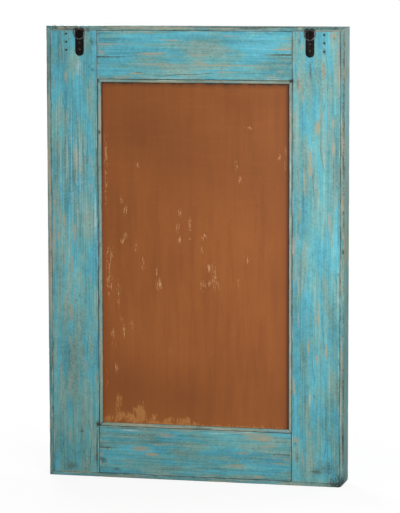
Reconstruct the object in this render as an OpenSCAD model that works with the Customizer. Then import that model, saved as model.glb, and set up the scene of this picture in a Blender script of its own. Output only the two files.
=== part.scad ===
// Wall mirror behind a pair of louvred shutters, in a deep frame of painted boards.
// Millimetres. The back of the frame lies in the plane y = 0 and its front faces -y.
// z = 0 is the bottom edge and x = 0 the centre line. Left is -x, as seen from the front.

/* [Frame] */
// Overall width
frame_w = 609.6; // [580:0.1:700]
// Overall height
frame_h = 914.4; // [860:0.1:1000]
// Thickness of the edge boards that box the frame in
edge_t = 8.6; // [7:0.1:12]
// Width of the back stiles, which is also the frame's margin round the glass
back_stile_w = 97; // [85:0.5:110]
// Width of the back rails
back_rail_w = 97; // [85:0.5:110]
// Thickness of the back boards
back_t = 25.4; // [24:0.1:32]
// Thickness of the front boards
front_t = 25.4; // [24.6:0.1:32]
// Radius of the eased long edges of the boards
arris_r = 0.8; // [0.5:0.1:1.4]
// Radius of the worn outer edges of the edge boards
outer_arris_r = 1.6; // [1:0.1:3]
// Radius of the dowels in the corner joints
dowel_r = 4; // [3:0.5:5]
// Length of the dowels
dowel_l = 50; // [36:1:60]
// Distance between the two dowels of one joint
dowel_pitch = 50; // [40:1:64]

/* [Glass and backing] */
// Thickness of the mirror glass
glass_t = 4; // [3:0.1:5]
// Thickness of the cardboard packing sheet behind the glass
packing_t = 5; // [4:0.1:6]
// Thickness of the backing panel
panel_t = 6; // [4:0.1:7]
// Play of glass, packing and panel at each edge of the opening
sheet_gap = 1; // [0.5:0.1:2]
// How far the front boards reach over the edge of the glass
glass_lip = 10; // [7:0.5:14]
// Width of the beads that hold the panel in
bead_w = 6.5; // [5:0.1:9]
// How far the beads lie below the back of the boards
bead_set = 1.4; // [0.5:0.1:2.4]
// Radius of the rounded edge of the beads
bead_r = 2.6; // [1:0.1:4]

/* [Shutters] */
// Thickness of the shutters
shutter_t = 19; // [18.8:0.1:21]
// Gap round and between the closed shutters
shutter_gap = 2; // [1.6:0.1:3]
// Width of the shutter stiles
shutter_stile_w = 36; // [30:0.5:44]
// Width of the top rail of a shutter
top_rail_w = 52; // [40:1:70]
// Width of the bottom rail of a shutter
bottom_rail_w = 64; // [50:1:90]
// Length of the tenons on the shutter rails
tenon_l = 20; // [12:0.5:24]
// Thickness of the tenons
tenon_t = 7; // [5:0.5:9]
// Shoulder above and below each tenon
tenon_shoulder = 9; // [5:0.5:14]
// Thickness of a louvre
louvre_t = 5.5; // [4:0.1:7]
// How far the louvres stay behind the faces of the shutter
louvre_inset = 0.5; // [0.2:0.1:2]
// Slope of the louvres from level, front edge down
louvre_tilt = 52; // [40:1:62]
// Largest spacing of the louvres
louvre_pitch = 21; // [18:0.5:28]
// How deep the louvre ends are housed in the stiles
housing = 4.8; // [3:0.1:8]

/* [Door stops and catches] */
// Width of the stop strips that the shutters close against
stop_w = 14; // [12:0.5:18]
// Gap between the stop strips and the closed shutters
stop_gap = 0.4; // [0.3:0.1:1]
// Radius of the catch magnets
magnet_r = 3; // [2:0.1:3.8]
// Length of the catch magnets
magnet_l = 4; // [2:0.5:4.5]
// Radius of the steel strikes in the shutters
strike_r = 3.5; // [2.5:0.1:4.2]
// Thickness of the strikes
strike_t = 1.2; // [0.8:0.1:2]

/* [Hinges] */
// Height of a butt hinge
hinge_h = 50; // [40:1:64]
// Width of a hinge leaf
leaf_w = 15; // [12:0.5:17]
// Thickness of a hinge leaf
leaf_t = 1.5; // [1:0.1:1.8]
// Outer radius of the hinge barrel
barrel_r = 3; // [2.8:0.1:4]
// Radius of the hinge pin
hinge_pin_r = 1.4; // [1:0.1:1.6]
// Distance from the shutter's end to the middle of a hinge
hinge_inset = 90; // [60:1:140]
// Radius of the hinge screws
hinge_screw_r = 1.4; // [1:0.1:1.8]
// Radius of their countersunk heads
hinge_head_r = 2.7; // [2.3:0.1:3.2]
// Length of the hinge screws
hinge_screw_l = 14; // [10:1:20]

/* [Knobs] */
// Radius of the knob's head
knob_r = 13; // [10:0.5:16]
// Radius of the knob's foot
knob_foot_r = 8; // [6.5:0.5:11]
// How far the knob stands off the shutter
knob_l = 23; // [19:0.5:30]
// Radius of the knob's screw
knob_screw_r = 2; // [1.5:0.1:2.5]

/* [Hangers] */
// Distance of the hangers from the sides of the frame
hanger_inset = 69.8; // [50:0.1:90]
// Distance from the top of the frame down to the ring's bar
hanger_drop = 6.4; // [5:0.1:14]
// Width of a hanger strap
strap_w = 17.4; // [15:0.1:22]
// Length of a strap from the ring's bar to its rounded end
strap_l = 53.4; // [46:0.1:64]
// Thickness of the strap, folded flat
strap_t = 1.5; // [1.2:0.1:2]
// Thickness of the strap's back leaf, which closes the notch
strap_back_t = 0.6; // [0.4:0.1:0.8]
// Width of the strap over its two rolled fingers
finger_w = 16; // [13:0.1:18]
// Width of the notch between the fingers
notch_w = 6.3; // [4:0.1:8]
// Depth of the notch below the ring's bar
notch_l = 17; // [12:0.1:20]
// Radius of the ring's wire
wire_r = 1.5; // [1.2:0.05:2]
// Drop of the ring from its bar to the middle of its wire at the bottom
ring_drop = 19.5; // [17:0.1:21]
// Distance from the ring's bar down to the upper screw
strap_screw_drop = 27; // [26:0.5:31]
// Distance between the two screws of a strap
strap_screw_pitch = 13; // [9:0.5:16]
// Radius of the strap screws
strap_screw_r = 1.6; // [1.2:0.1:2]
// Radius of the heads of the strap screws
strap_head_r = 3.3; // [2.6:0.1:4]
// Length of the strap screws below the head
strap_screw_l = 16; // [12:1:20]

/* [Spare screw holes] */
// Distance of the spare holes from the sides of the frame
spare_inset = 42; // [30:0.5:52]
// Distance from the top of the frame to the first spare hole
spare_drop = 15.5; // [14:0.5:30]
// Spacing of the spare holes
spare_pitch = 16.4; // [10:0.1:22]
// Radius of the spare holes
spare_r = 1.9; // [1.2:0.1:2.4]
// Depth of the spare holes
spare_l = 12; // [6:0.5:18]

/* [Hidden] */
$fn = 48;

paint = [0.36, 0.66, 0.70];
worn_edge = [0.52, 0.62, 0.58];
panel_brown = [0.56, 0.33, 0.19];
bare_wood = [0.78, 0.64, 0.44];
board_grey = [0.60, 0.55, 0.47];
silver = [0.82, 0.86, 0.88];
bronze_black = [0.16, 0.15, 0.13];
steel = [0.62, 0.62, 0.60];

cut = 1;             // how far a cutting shape runs past the face it opens
running = 0.06;      // radial clearance of a bore that turns on a pin
snug = 0.05;         // clearance of a piece let into wood or metal
housing_play = 0.2;  // clearance round a louvre's end
shy = 0.3;           // clearance between pieces that move past each other

// Frame
frame_d = back_t + front_t;
inner_w = frame_w - 2 * edge_t;
inner_h = frame_h - 2 * edge_t;
open_w = inner_w - 2 * back_stile_w;
open_h = inner_h - 2 * back_rail_w;
door_open_w = open_w - 2 * glass_lip;
door_open_h = open_h - 2 * glass_lip;
front_stile_w = back_stile_w + glass_lip;
front_rail_w = back_rail_w + glass_lip;

// Sheets in the opening, from the front boards back
glass_y = glass_t - back_t;
packing_y = glass_y + packing_t;
panel_y = packing_y + panel_t;

// Shutters
shutter_w = (door_open_w - 3 * shutter_gap) / 2;
shutter_h = door_open_h - 2 * shutter_gap;
shutter_z = frame_h / 2 - shutter_h / 2;
shutter_back_y = shutter_t - frame_d;
rail_l = shutter_w - 2 * shutter_stile_w;
field_h = shutter_h - top_rail_w - bottom_rail_w;
louvre_chord = (shutter_t - 2 * louvre_inset - louvre_t) / cos(louvre_tilt);
louvre_rise = louvre_chord * sin(louvre_tilt) + louvre_t;
louvre_z = bottom_rail_w + shy + louvre_rise / 2;
louvre_span = field_h - 2 * shy - louvre_rise;
louvre_gaps = ceil(louvre_span / louvre_pitch);
louvre_step = louvre_span / louvre_gaps;
knob_z = shutter_h / 2;
knob_thread_l = knob_l * 0.4;
knob_head_r = knob_screw_r * 1.8;
knob_head_l = 2.2;

// Stops and catches
stop_t = front_t - shutter_t - stop_gap;
catch_x = shutter_gap / 2 + shutter_stile_w / 2;
catch_z = frame_h / 2 + door_open_h / 2 - stop_w / 2;

// Hinges: the axis stands in front of the frame, over the middle of the gap
hinge_x = door_open_w / 2 - shutter_gap / 2;
hinge_y = -frame_d - barrel_r - shy;
hinge_z = [shutter_z + hinge_inset, shutter_z + shutter_h - hinge_inset];
knuckles = 5;
knuckle_h = hinge_h / knuckles;
hinge_screw_z = [-hinge_h / 2 + knuckle_h, 0, hinge_h / 2 - knuckle_h];
hinge_screw_y = -frame_d + leaf_w * 0.55;
pin_head_r = hinge_pin_r + 1;
pin_head_l = 1.4;

// Hangers: the rolled fingers are tangent to the wood, and the ring turns in them
finger_r = wire_r + running + strap_t;
bar_y = finger_r + shy - running;
hanger_x = frame_w / 2 - hanger_inset;
bar_z = frame_h - hanger_drop;
ring_bend_r = wire_r + shy;
ring_half_w = finger_w / 2 + ring_bend_r;
finger_slit = 0.6;
strap_head_l = 2;

// ---- shapes that several pieces share ----

// Section of a board from x = 0 to w and from y = 0 forward to -t. The radii are those
// of its corners: back at x = 0, back at w, front at w, front at 0.
module board_section(w, t, radii) {
    corners = [[0, 0, -90], [w, 0, 180], [w, -t, 90], [0, -t, 0]];
    difference() {
        translate([0, -t]) square([w, t]);
        for (i = [0:3]) {
            translate([corners[i][0], corners[i][1]]) rotate(corners[i][2]) difference() {
                translate([-cut, -cut]) square(radii[i] + cut);
                translate([radii[i], radii[i]]) circle(radii[i]);
            }
        }
    }
}

// An upright board with eased long edges, centred on x and z, its back in y = 0
module board(w, t, l) {
    translate([-w / 2, 0, -l / 2]) linear_extrude(l)
        board_section(w, t, [arris_r, arris_r, arris_r, arris_r]);
}

// An upright bar with mitred ends: its outer side, of length l, lies in x = 0
module mitred_bar(w, t, l, radii) {
    intersection() {
        translate([0, 0, -l / 2]) linear_extrude(l) board_section(w, t, radii);
        rotate([90, 0, 0]) translate([0, 0, -cut]) linear_extrude(t + 2 * cut)
            polygon([[0, -l / 2], [w, w - l / 2], [w, l / 2 - w], [0, l / 2]]);
    }
}

// A mitred bar at one side of a rectangle w by h round the middle of the frame
module bar_at(side, w, h, bar_w, bar_t, radii) {
    upright = side == "left" || side == "right";
    turn = side == "left" ? 0 : side == "bottom" ? -90 : side == "right" ? 180 : 90;
    translate([0, 0, frame_h / 2]) rotate([0, turn, 0])
        translate([upright ? -w / 2 : -h / 2, 0, 0])
        mitred_bar(bar_w, bar_t, upright ? h : w, radii);
}

module mirrored(side) {
    mirror([side == "right" ? 1 : 0, 0, 0]) children();
}

// Round bar along x, from x = 0
module x_rod(r, l) {
    rotate([0, 90, 0]) cylinder(r = r, h = l);
}

// ---- frame ----

// Dowels of one layer of boards, whose joints lie at +-joint_x
module dowels(joint_x, rail_w, y, play) {
    for (sx = [-1, 1], sz = [-1, 1], k = [-1, 1]) {
        translate([
            sx * joint_x - dowel_l / 2 - play,
            y,
            frame_h / 2 + sz * (inner_h / 2 - rail_w / 2) + k * dowel_pitch / 2
        ]) x_rod(dowel_r + play, dowel_l + 2 * play);
    }
}

module back_dowels(play) {
    dowels(open_w / 2, back_rail_w, -back_t / 2, play);
}

module front_dowels(play) {
    dowels(door_open_w / 2, front_rail_w, -back_t - front_t / 2, play);
}

module corner_dowels() {
    color(bare_wood) {
        back_dowels(0);
        front_dowels(0);
    }
}

// Two screw holes under each strap and the three spare ones beside it
module stile_screw_holes() {
    for (k = [0, 1]) {
        translate([
            -hanger_x, cut, bar_z - strap_screw_drop - k * strap_screw_pitch
        ]) rotate([90, 0, 0]) cylinder(r = strap_screw_r + snug, h = strap_screw_l + cut);
    }
    for (k = [0:2]) {
        translate([-frame_w / 2 + spare_inset, cut, frame_h - spare_drop - k * spare_pitch])
            rotate([90, 0, 0]) cylinder(r = spare_r, h = spare_l + cut);
    }
}

module back_stile(side) {
    color(paint) mirrored(side) difference() {
        translate([-(inner_w - back_stile_w) / 2, 0, frame_h / 2])
            board(back_stile_w, back_t, inner_h);
        stile_screw_holes();
        back_dowels(snug);
    }
}

module back_rail(sz) {
    color(paint) difference() {
        translate([0, 0, frame_h / 2 + sz * (inner_h - back_rail_w) / 2])
            rotate([0, 90, 0]) board(back_rail_w, back_t, open_w);
        back_dowels(snug);
    }
}

// Recess for a hinge leaf, with the screw holes below it, at the left edge of the opening
module frame_hinge_seat() {
    for (z = hinge_z) {
        translate([-hinge_x - shutter_gap / 2 - leaf_t, -frame_d - cut, z - hinge_h / 2])
            cube([leaf_t + cut, leaf_w + cut, hinge_h]);
        for (dz = hinge_screw_z) {
            translate([-door_open_w / 2 - hinge_screw_l - snug, hinge_screw_y, z + dz])
                x_rod(hinge_screw_r + snug, hinge_screw_l + cut);
        }
    }
}

module front_stile(side) {
    color(paint) mirrored(side) difference() {
        translate([-(inner_w - front_stile_w) / 2, -back_t, frame_h / 2])
            board(front_stile_w, front_t, inner_h);
        frame_hinge_seat();
        front_dowels(snug);
    }
}

module front_rail(sz) {
    color(paint) difference() {
        translate([0, -back_t, frame_h / 2 + sz * (inner_h - front_rail_w) / 2])
            rotate([0, 90, 0]) board(front_rail_w, front_t, door_open_w);
        front_dowels(snug);
    }
}

module edge_board(side) {
    color(worn_edge)
        bar_at(side, frame_w, frame_h, edge_t, frame_d,
            [outer_arris_r, arris_r, arris_r, outer_arris_r]);
}

// ---- sheets and beads ----

module bead(side) {
    color(paint) translate([0, -bead_set, 0])
        bar_at(side, open_w, open_h, bead_w, -bead_set - panel_y,
            [arris_r, bead_r, arris_r, arris_r]);
}

// A sheet that fills the opening, with its back at y
module sheet(y, t) {
    w = open_w - 2 * sheet_gap;
    h = open_h - 2 * sheet_gap;
    translate([-w / 2, y - t, (frame_h - h) / 2]) cube([w, t, h]);
}

module backing_panel() {
    color(panel_brown) sheet(panel_y, panel_t);
}

module packing_sheet() {
    color(board_grey) sheet(packing_y, packing_t);
}

module mirror_glass() {
    color(silver) sheet(glass_y, glass_t);
}

// ---- stops and catches ----

// The magnets' seats, or the magnets themselves, in the front of the top stop
module at_catches(r, l, past) {
    for (s = [-1, 1]) {
        translate([s * catch_x, -back_t - stop_t + l, catch_z])
            rotate([90, 0, 0]) cylinder(r = r, h = l + past);
    }
}

module stop_strip(side) {
    color(paint) difference() {
        translate([0, -back_t, 0])
            bar_at(side, door_open_w, door_open_h, stop_w, stop_t,
                [arris_r, arris_r, arris_r, arris_r]);
        if (side == "top") at_catches(magnet_r + snug, magnet_l, cut);
    }
}

module catch_magnets() {
    color(steel) at_catches(magnet_r, magnet_l, 0);
}

// ---- hangers ----

// Outline of a leaf of the strap below the ring's bar, in x and z. The front leaf has a notch.
module strap_outline(notched) {
    round_z = strap_w / 2 - strap_l;
    neck_z = -notch_l;
    difference() {
        union() {
            translate([0, round_z]) circle(strap_w / 2);
            translate([-strap_w / 2, round_z]) square([strap_w, neck_z - round_z]);
            polygon([
                [-strap_w / 2, neck_z], [strap_w / 2, neck_z],
                [finger_w / 2, 0], [-finger_w / 2, 0]
            ]);
        }
        if (notched) {
            polygon([
                [-notch_w / 2, cut], [-notch_w / 2, -finger_r], [-notch_w / 8, -notch_l],
                [notch_w / 8, -notch_l], [notch_w / 2, -finger_r], [notch_w / 2, cut]
            ]);
        }
        for (k = [0, 1]) {
            translate([0, -strap_screw_drop - k * strap_screw_pitch])
                circle(strap_screw_r + snug);
        }
    }
}

// One finger rolled over the ring's bar, open by a slit where its end meets the strap
module rolled_finger() {
    finger_l = (finger_w - notch_w) / 2;
    translate([notch_w / 2, 0, 0]) difference() {
        x_rod(finger_r, finger_l);
        translate([-cut, 0, 0]) x_rod(wire_r + running, finger_l + 2 * cut);
        translate([-cut, strap_t - bar_y, -finger_r - cut])
            cube([finger_l + 2 * cut, finger_slit, finger_r + cut]);
    }
}

module hanger_strap(side) {
    color(bronze_black) mirrored(side) translate([-hanger_x, 0, bar_z]) {
        difference() {
            rotate([90, 0, 0]) {
                translate([0, 0, -strap_t]) linear_extrude(strap_t) strap_outline(true);
                translate([0, 0, -strap_back_t]) linear_extrude(strap_back_t) strap_outline(false);
            }
            translate([-strap_w, bar_y, 0]) x_rod(wire_r + running, 2 * strap_w);
        }
        for (s = [0, 1]) {
            mirror([s, 0, 0]) translate([0, bar_y, 0]) rolled_finger();
        }
    }
}

// The ring hangs from its straight bar: two tight bends, two short legs and a half round
module hang_ring(side) {
    leg_l = ring_drop - ring_half_w - ring_bend_r;
    color(bronze_black) mirrored(side) translate([-hanger_x, bar_y, bar_z]) {
        translate([-finger_w / 2, 0, 0]) x_rod(wire_r, finger_w);
        for (s = [0, 1]) {
            mirror([s, 0, 0]) {
                translate([finger_w / 2, 0, -ring_bend_r]) rotate([90, 0, 0])
                    rotate_extrude(angle = 90) translate([ring_bend_r, 0]) circle(wire_r);
                translate([ring_half_w, 0, -ring_bend_r - leg_l])
                    cylinder(r = wire_r, h = leg_l);
            }
        }
        translate([0, 0, -ring_bend_r - leg_l]) rotate([90, 0, 0]) rotate([0, 0, 180])
            rotate_extrude(angle = 180) translate([ring_half_w, 0]) circle(wire_r);
    }
}

// Round-headed wood screw along -y, with the underside of its head in y = 0
module round_screw(r, head_r, head_l, l) {
    rotate([90, 0, 0]) cylinder(r = r, h = l);
    rotate([-90, 0, 0]) cylinder(r = head_r, h = head_l / 2);
    translate([0, head_l / 2, 0]) rotate([-90, 0, 0])
        cylinder(r1 = head_r, r2 = head_r * 0.6, h = head_l / 2);
}

module hanger_screws() {
    color(bronze_black)
    for (s = [-1, 1], k = [0, 1]) {
        translate([s * hanger_x, strap_t, bar_z - strap_screw_drop - k * strap_screw_pitch])
            round_screw(strap_screw_r, strap_head_r, strap_head_l, strap_screw_l);
    }
}

// ---- hinges ----

// Half of a butt hinge on the left side of its axis, whose centre is the origin.
// The knuckles that it holds are those whose number leaves the remainder own by 2.
module hinge_half(own) {
    difference() {
        union() {
            translate([-shutter_gap / 2 - leaf_t, barrel_r + shy, -hinge_h / 2])
                cube([leaf_t, leaf_w, hinge_h]);
            for (i = [0:knuckles - 1]) {
                if (i % 2 == own) {
                    z = -hinge_h / 2 + i * knuckle_h + shy / 2;
                    translate([0, 0, z]) cylinder(r = barrel_r, h = knuckle_h - shy);
                    translate([-shutter_gap / 2 - leaf_t, 0, z])
                        cube([leaf_t, barrel_r + shy + cut, knuckle_h - shy]);
                }
            }
        }
        translate([0, 0, -hinge_h / 2 - cut])
            cylinder(r = hinge_pin_r + running, h = hinge_h + 2 * cut);
        for (z = hinge_screw_z) {
            translate([-shutter_gap / 2, hinge_screw_y - hinge_y, z])
                rotate([0, -90, 0]) countersunk(snug, leaf_t + cut);
        }
    }
}

// Countersunk screw along +z, with the top of its head in z = 0
module countersunk(play, l) {
    head_l = hinge_head_r - hinge_screw_r;
    cylinder(r1 = hinge_head_r + play, r2 = hinge_screw_r + play, h = head_l);
    cylinder(r = hinge_screw_r + play, h = l);
    if (play > 0) translate([0, 0, -cut]) cylinder(r = hinge_head_r + play, h = cut);
}

module hinge_frame_leaf(side, i) {
    color(bronze_black) mirrored(side) translate([-hinge_x, hinge_y, hinge_z[i]])
        hinge_half(0);
}

module hinge_door_leaf(side, i) {
    color(bronze_black) mirrored(side) translate([-hinge_x, hinge_y, hinge_z[i]])
        mirror([1, 0, 0]) hinge_half(1);
}

module hinge_pins() {
    color(steel)
    for (s = [-1, 1], z = hinge_z) {
        translate([s * hinge_x, hinge_y, z - hinge_h / 2]) {
            cylinder(r = hinge_pin_r, h = hinge_h);
            translate([0, 0, hinge_h - shy / 2])
                cylinder(r1 = pin_head_r, r2 = hinge_pin_r, h = pin_head_l);
            translate([0, 0, shy / 2 - pin_head_l])
                cylinder(r1 = hinge_pin_r, r2 = pin_head_r, h = pin_head_l);
        }
    }
}

module hinge_frame_screws() {
    color(bronze_black)
    for (side = ["left", "right"], z = hinge_z, dz = hinge_screw_z) {
        mirrored(side) translate([-door_open_w / 2, hinge_screw_y, z + dz])
            rotate([0, -90, 0]) countersunk(0, hinge_screw_l);
    }
}

module hinge_door_screws(side) {
    color(bronze_black)
    for (z = hinge_z, dz = hinge_screw_z) {
        mirrored(side) translate([-door_open_w / 2 + shutter_gap, hinge_screw_y, z + dz])
            rotate([0, 90, 0]) countersunk(0, hinge_screw_l);
    }
}

// ---- shutters ----

// Puts a piece, drawn with the hinge edge in x = 0 and the back in y = 0, on its side
module in_shutter(side) {
    mirrored(side)
        translate([-door_open_w / 2 + shutter_gap, shutter_back_y, shutter_z]) children();
}

// Louvre section in y and z, or with play the shape of its housing
module louvre_section(play) {
    rotate(louvre_tilt) {
        square([louvre_chord, louvre_t + 2 * play], center = true);
        for (s = [-1, 1]) {
            translate([s * louvre_chord / 2, 0]) circle(louvre_t / 2 + play);
        }
    }
}

// All louvres of a shutter, from x over a length l
module louvre_row(x, l, play) {
    for (i = [0:louvre_gaps]) {
        translate([x, -shutter_t / 2, louvre_z + i * louvre_step])
            rotate([90, 0, 90]) linear_extrude(l) louvre_section(play);
    }
}

// Tenons of both rails at the rail ends, or with play their mortises
module tenons(play) {
    for (end = [shutter_stile_w - tenon_l, shutter_w - shutter_stile_w]) {
        for (r = [[0, bottom_rail_w], [shutter_h - top_rail_w, top_rail_w]]) {
            translate([
                end - play,
                -(shutter_t + tenon_t) / 2 - play,
                r[0] + tenon_shoulder - play
            ]) cube([
                tenon_l + 2 * play,
                tenon_t + 2 * play,
                r[1] - 2 * tenon_shoulder + 2 * play
            ]);
        }
    }
}

module shutter_stile_blank(x) {
    translate([x, 0, 0]) linear_extrude(shutter_h)
        board_section(shutter_stile_w, shutter_t, [arris_r, arris_r, arris_r, arris_r]);
}

module shutter_hinge_stile(side) {
    color(paint) in_shutter(side) difference() {
        shutter_stile_blank(0);
        tenons(snug);
        louvre_row(shutter_stile_w - housing - housing_play, housing + cut, housing_play);
        for (z = hinge_z) {
            translate([-cut, -shutter_t - cut, z - shutter_z - hinge_h / 2])
                cube([cut + leaf_t, leaf_w + cut, hinge_h]);
            for (dz = hinge_screw_z) {
                translate([-cut, hinge_screw_y - shutter_back_y, z - shutter_z + dz])
                    x_rod(hinge_screw_r + snug, hinge_screw_l + cut + snug);
            }
        }
    }
}

module shutter_meeting_stile(side) {
    x = shutter_w - shutter_stile_w;
    color(paint) in_shutter(side) difference() {
        shutter_stile_blank(x);
        tenons(snug);
        louvre_row(x - cut + housing_play, housing + cut, housing_play);
        translate([x + shutter_stile_w / 2, cut, knob_z])
            rotate([90, 0, 0]) cylinder(r = knob_screw_r + snug, h = shutter_t + 2 * cut);
        translate([x + shutter_stile_w / 2, cut, catch_z - shutter_z])
            rotate([90, 0, 0]) cylinder(r = strike_r + snug, h = strike_t + cut);
    }
}

// A rail between the stiles, with a tenon at each end
module shutter_rail(side, z, w) {
    color(paint) in_shutter(side) {
        translate([shutter_stile_w + rail_l / 2, 0, z + w / 2]) rotate([0, 90, 0])
            board(w, shutter_t, rail_l);
        intersection() {
            tenons(0);
            translate([0, -shutter_t, z]) cube([shutter_w, shutter_t, w]);
        }
    }
}

module shutter_top_rail(side) {
    shutter_rail(side, shutter_h - top_rail_w, top_rail_w);
}

module shutter_bottom_rail(side) {
    shutter_rail(side, 0, bottom_rail_w);
}

module louvres(side) {
    color(paint) in_shutter(side)
        louvre_row(shutter_stile_w - housing, rail_l + 2 * housing, 0);
}

module strike(side) {
    color(steel) in_shutter(side)
        translate([shutter_w - shutter_stile_w / 2, 0, catch_z - shutter_z])
        rotate([90, 0, 0]) cylinder(r = strike_r, h = strike_t);
}

// Turned knob: a flat foot, a hollow-sided neck and a domed head with a round rim
module knob(side) {
    rim_r = knob_r * 0.36;
    neck_r = knob_foot_r * 0.6;
    foot_l = 2.4;
    dome_rise = 1.6;
    head_z = knob_l - rim_r - dome_rise;
    dome_r = knob_r * 2.4;
    color(bronze_black) in_shutter(side)
        translate([shutter_w - shutter_stile_w / 2, -shutter_t, knob_z]) rotate([90, 0, 0])
        difference() {
            union() {
                cylinder(r = knob_foot_r, h = foot_l);
                cylinder(r1 = neck_r * 1.25, r2 = neck_r, h = head_z - rim_r / 2);
                translate([0, 0, head_z - rim_r]) cylinder(r = neck_r, h = rim_r);
                translate([0, 0, head_z]) rotate_extrude() {
                    translate([knob_r - rim_r, 0]) circle(rim_r);
                    translate([0, -rim_r]) square([knob_r - rim_r, 2 * rim_r]);
                }
                intersection() {
                    translate([0, 0, knob_l - dome_r]) sphere(dome_r);
                    translate([0, 0, head_z]) cylinder(r = knob_r - rim_r, h = knob_l);
                }
            }
            translate([0, 0, -cut])
                cylinder(r = knob_screw_r + snug, h = knob_thread_l + cut + snug);
        }
}

module knob_screw(side) {
    color(steel) in_shutter(side)
        translate([shutter_w - shutter_stile_w / 2, 0, knob_z])
        round_screw(knob_screw_r, knob_head_r, knob_head_l, shutter_t + knob_thread_l);
}

// ---- the assembly ----

back_stile("left");  // back_stile_left
back_stile("right");  // back_stile_right
back_rail(1);  // back_rail_top
back_rail(-1);  // back_rail_bottom
front_stile("left");  // front_stile_left
front_stile("right");  // front_stile_right
front_rail(1);  // front_rail_top
front_rail(-1);  // front_rail_bottom
edge_board("left");  // edge_board_left
edge_board("right");  // edge_board_right
edge_board("top");  // edge_board_top
edge_board("bottom");  // edge_board_bottom
corner_dowels();
bead("left");  // bead_left
bead("right");  // bead_right
bead("top");  // bead_top
bead("bottom");  // bead_bottom
backing_panel();
packing_sheet();
mirror_glass();
stop_strip("left");  // stop_left
stop_strip("right");  // stop_right
stop_strip("top");  // stop_top
stop_strip("bottom");  // stop_bottom
catch_magnets();
hanger_strap("left");  // hanger_strap_left
hanger_strap("right");  // hanger_strap_right
hang_ring("left");  // hang_ring_left
hang_ring("right");  // hang_ring_right
hanger_screws();
hinge_frame_leaf("left", 1);  // hinge_frame_leaf_left_top
hinge_frame_leaf("left", 0);  // hinge_frame_leaf_left_bottom
hinge_frame_leaf("right", 1);  // hinge_frame_leaf_right_top
hinge_frame_leaf("right", 0);  // hinge_frame_leaf_right_bottom
hinge_pins();
hinge_frame_screws();
hinge_door_leaf("left", 1);  // hinge_door_leaf_left_top
hinge_door_leaf("left", 0);  // hinge_door_leaf_left_bottom
hinge_door_leaf("right", 1);  // hinge_door_leaf_right_top
hinge_door_leaf("right", 0);  // hinge_door_leaf_right_bottom
hinge_door_screws("left");  // hinge_door_screws_left
hinge_door_screws("right");  // hinge_door_screws_right
shutter_hinge_stile("left");  // shutter_hinge_stile_left
shutter_hinge_stile("right");  // shutter_hinge_stile_right
shutter_meeting_stile("left");  // shutter_meeting_stile_left
shutter_meeting_stile("right");  // shutter_meeting_stile_right
shutter_top_rail("left");  // shutter_top_rail_left
shutter_top_rail("right");  // shutter_top_rail_right
shutter_bottom_rail("left");  // shutter_bottom_rail_left
shutter_bottom_rail("right");  // shutter_bottom_rail_right
louvres("left");  // louvres_left
louvres("right");  // louvres_right
knob("left");  // knob_left
knob("right");  // knob_right
knob_screw("left");  // knob_screw_left
knob_screw("right");  // knob_screw_right
strike("left");  // strike_left
strike("right");  // strike_right
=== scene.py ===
"""Looks of a wall mirror behind a pair of louvred shutters, with its painted back towards the camera.

Metres, in the frame's own directions: z is up, the back of the frame lies in y = 0 and its front
faces -y. The names left and right are those of somebody who stands before the mirror.
"""
import logging
import math
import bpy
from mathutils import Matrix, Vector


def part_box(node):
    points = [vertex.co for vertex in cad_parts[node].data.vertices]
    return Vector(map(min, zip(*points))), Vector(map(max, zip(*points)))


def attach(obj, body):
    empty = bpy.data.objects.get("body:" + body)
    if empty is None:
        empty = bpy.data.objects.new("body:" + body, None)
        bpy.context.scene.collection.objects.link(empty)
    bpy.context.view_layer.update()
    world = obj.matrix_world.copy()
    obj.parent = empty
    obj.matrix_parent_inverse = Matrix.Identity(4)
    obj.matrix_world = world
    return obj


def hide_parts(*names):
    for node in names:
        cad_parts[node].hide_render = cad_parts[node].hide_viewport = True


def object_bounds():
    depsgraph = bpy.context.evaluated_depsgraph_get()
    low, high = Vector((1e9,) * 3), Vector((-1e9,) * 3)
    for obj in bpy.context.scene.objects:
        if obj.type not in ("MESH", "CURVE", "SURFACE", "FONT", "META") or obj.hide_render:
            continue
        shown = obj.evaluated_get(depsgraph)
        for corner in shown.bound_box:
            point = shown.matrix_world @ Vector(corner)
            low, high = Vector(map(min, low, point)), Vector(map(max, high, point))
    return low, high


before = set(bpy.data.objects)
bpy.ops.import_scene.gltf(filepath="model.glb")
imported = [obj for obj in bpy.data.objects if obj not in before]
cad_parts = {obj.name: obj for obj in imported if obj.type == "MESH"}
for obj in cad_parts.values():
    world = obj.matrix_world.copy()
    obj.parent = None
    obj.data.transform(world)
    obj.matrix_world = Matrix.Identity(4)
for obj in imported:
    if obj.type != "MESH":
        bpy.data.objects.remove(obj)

import zlib
from dataclasses import dataclass, field
from enum import Enum
from typing import Callable, Iterable, Sequence

import bmesh
import bpy
import numpy as np
from bpy.types import Material, Mesh, Node, NodeTree, Object
from bpy.types import NodeSocket as Socket
from mathutils import Matrix, Vector

log = logging.getLogger("shutter_mirror")
CAD_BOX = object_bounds()

Colour = tuple[float, float, float, float]
Cutter = tuple[list, list]
Inputs = dict[str | int, object]
MM = 0.001
# the words that the names of CAD nodes end with
HANDS = ("left", "right")
ENDS = ("top", "bottom")
SIDES = ("left", "right", "bottom", "top")
WHITE: Colour = (1.0, 1.0, 1.0, 1.0)
# added to a piece's own seed, so that each of its draws stands alone
EDGE_SEED, NICK_SEED, SCATTER_SEED, SHIFT_SEED = 1, 2, 5, 9


def srgb(red: int, green: int, blue: int) -> Colour:
    """The linear colour of an 8-bit screen colour.

    Args:
        red: Red, 0 to 255.
        green: Green, 0 to 255.
        blue: Blue, 0 to 255.

    Returns:
        Red, green, blue and alpha as a shader takes them.
    """
    def linear(value: float) -> float:
        """One channel from screen to linear light."""
        return value / 12.92 if value <= 0.04045 else ((value + 0.055) / 1.055) ** 2.4

    return (linear(red / 255), linear(green / 255), linear(blue / 255), 1.0)


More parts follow.
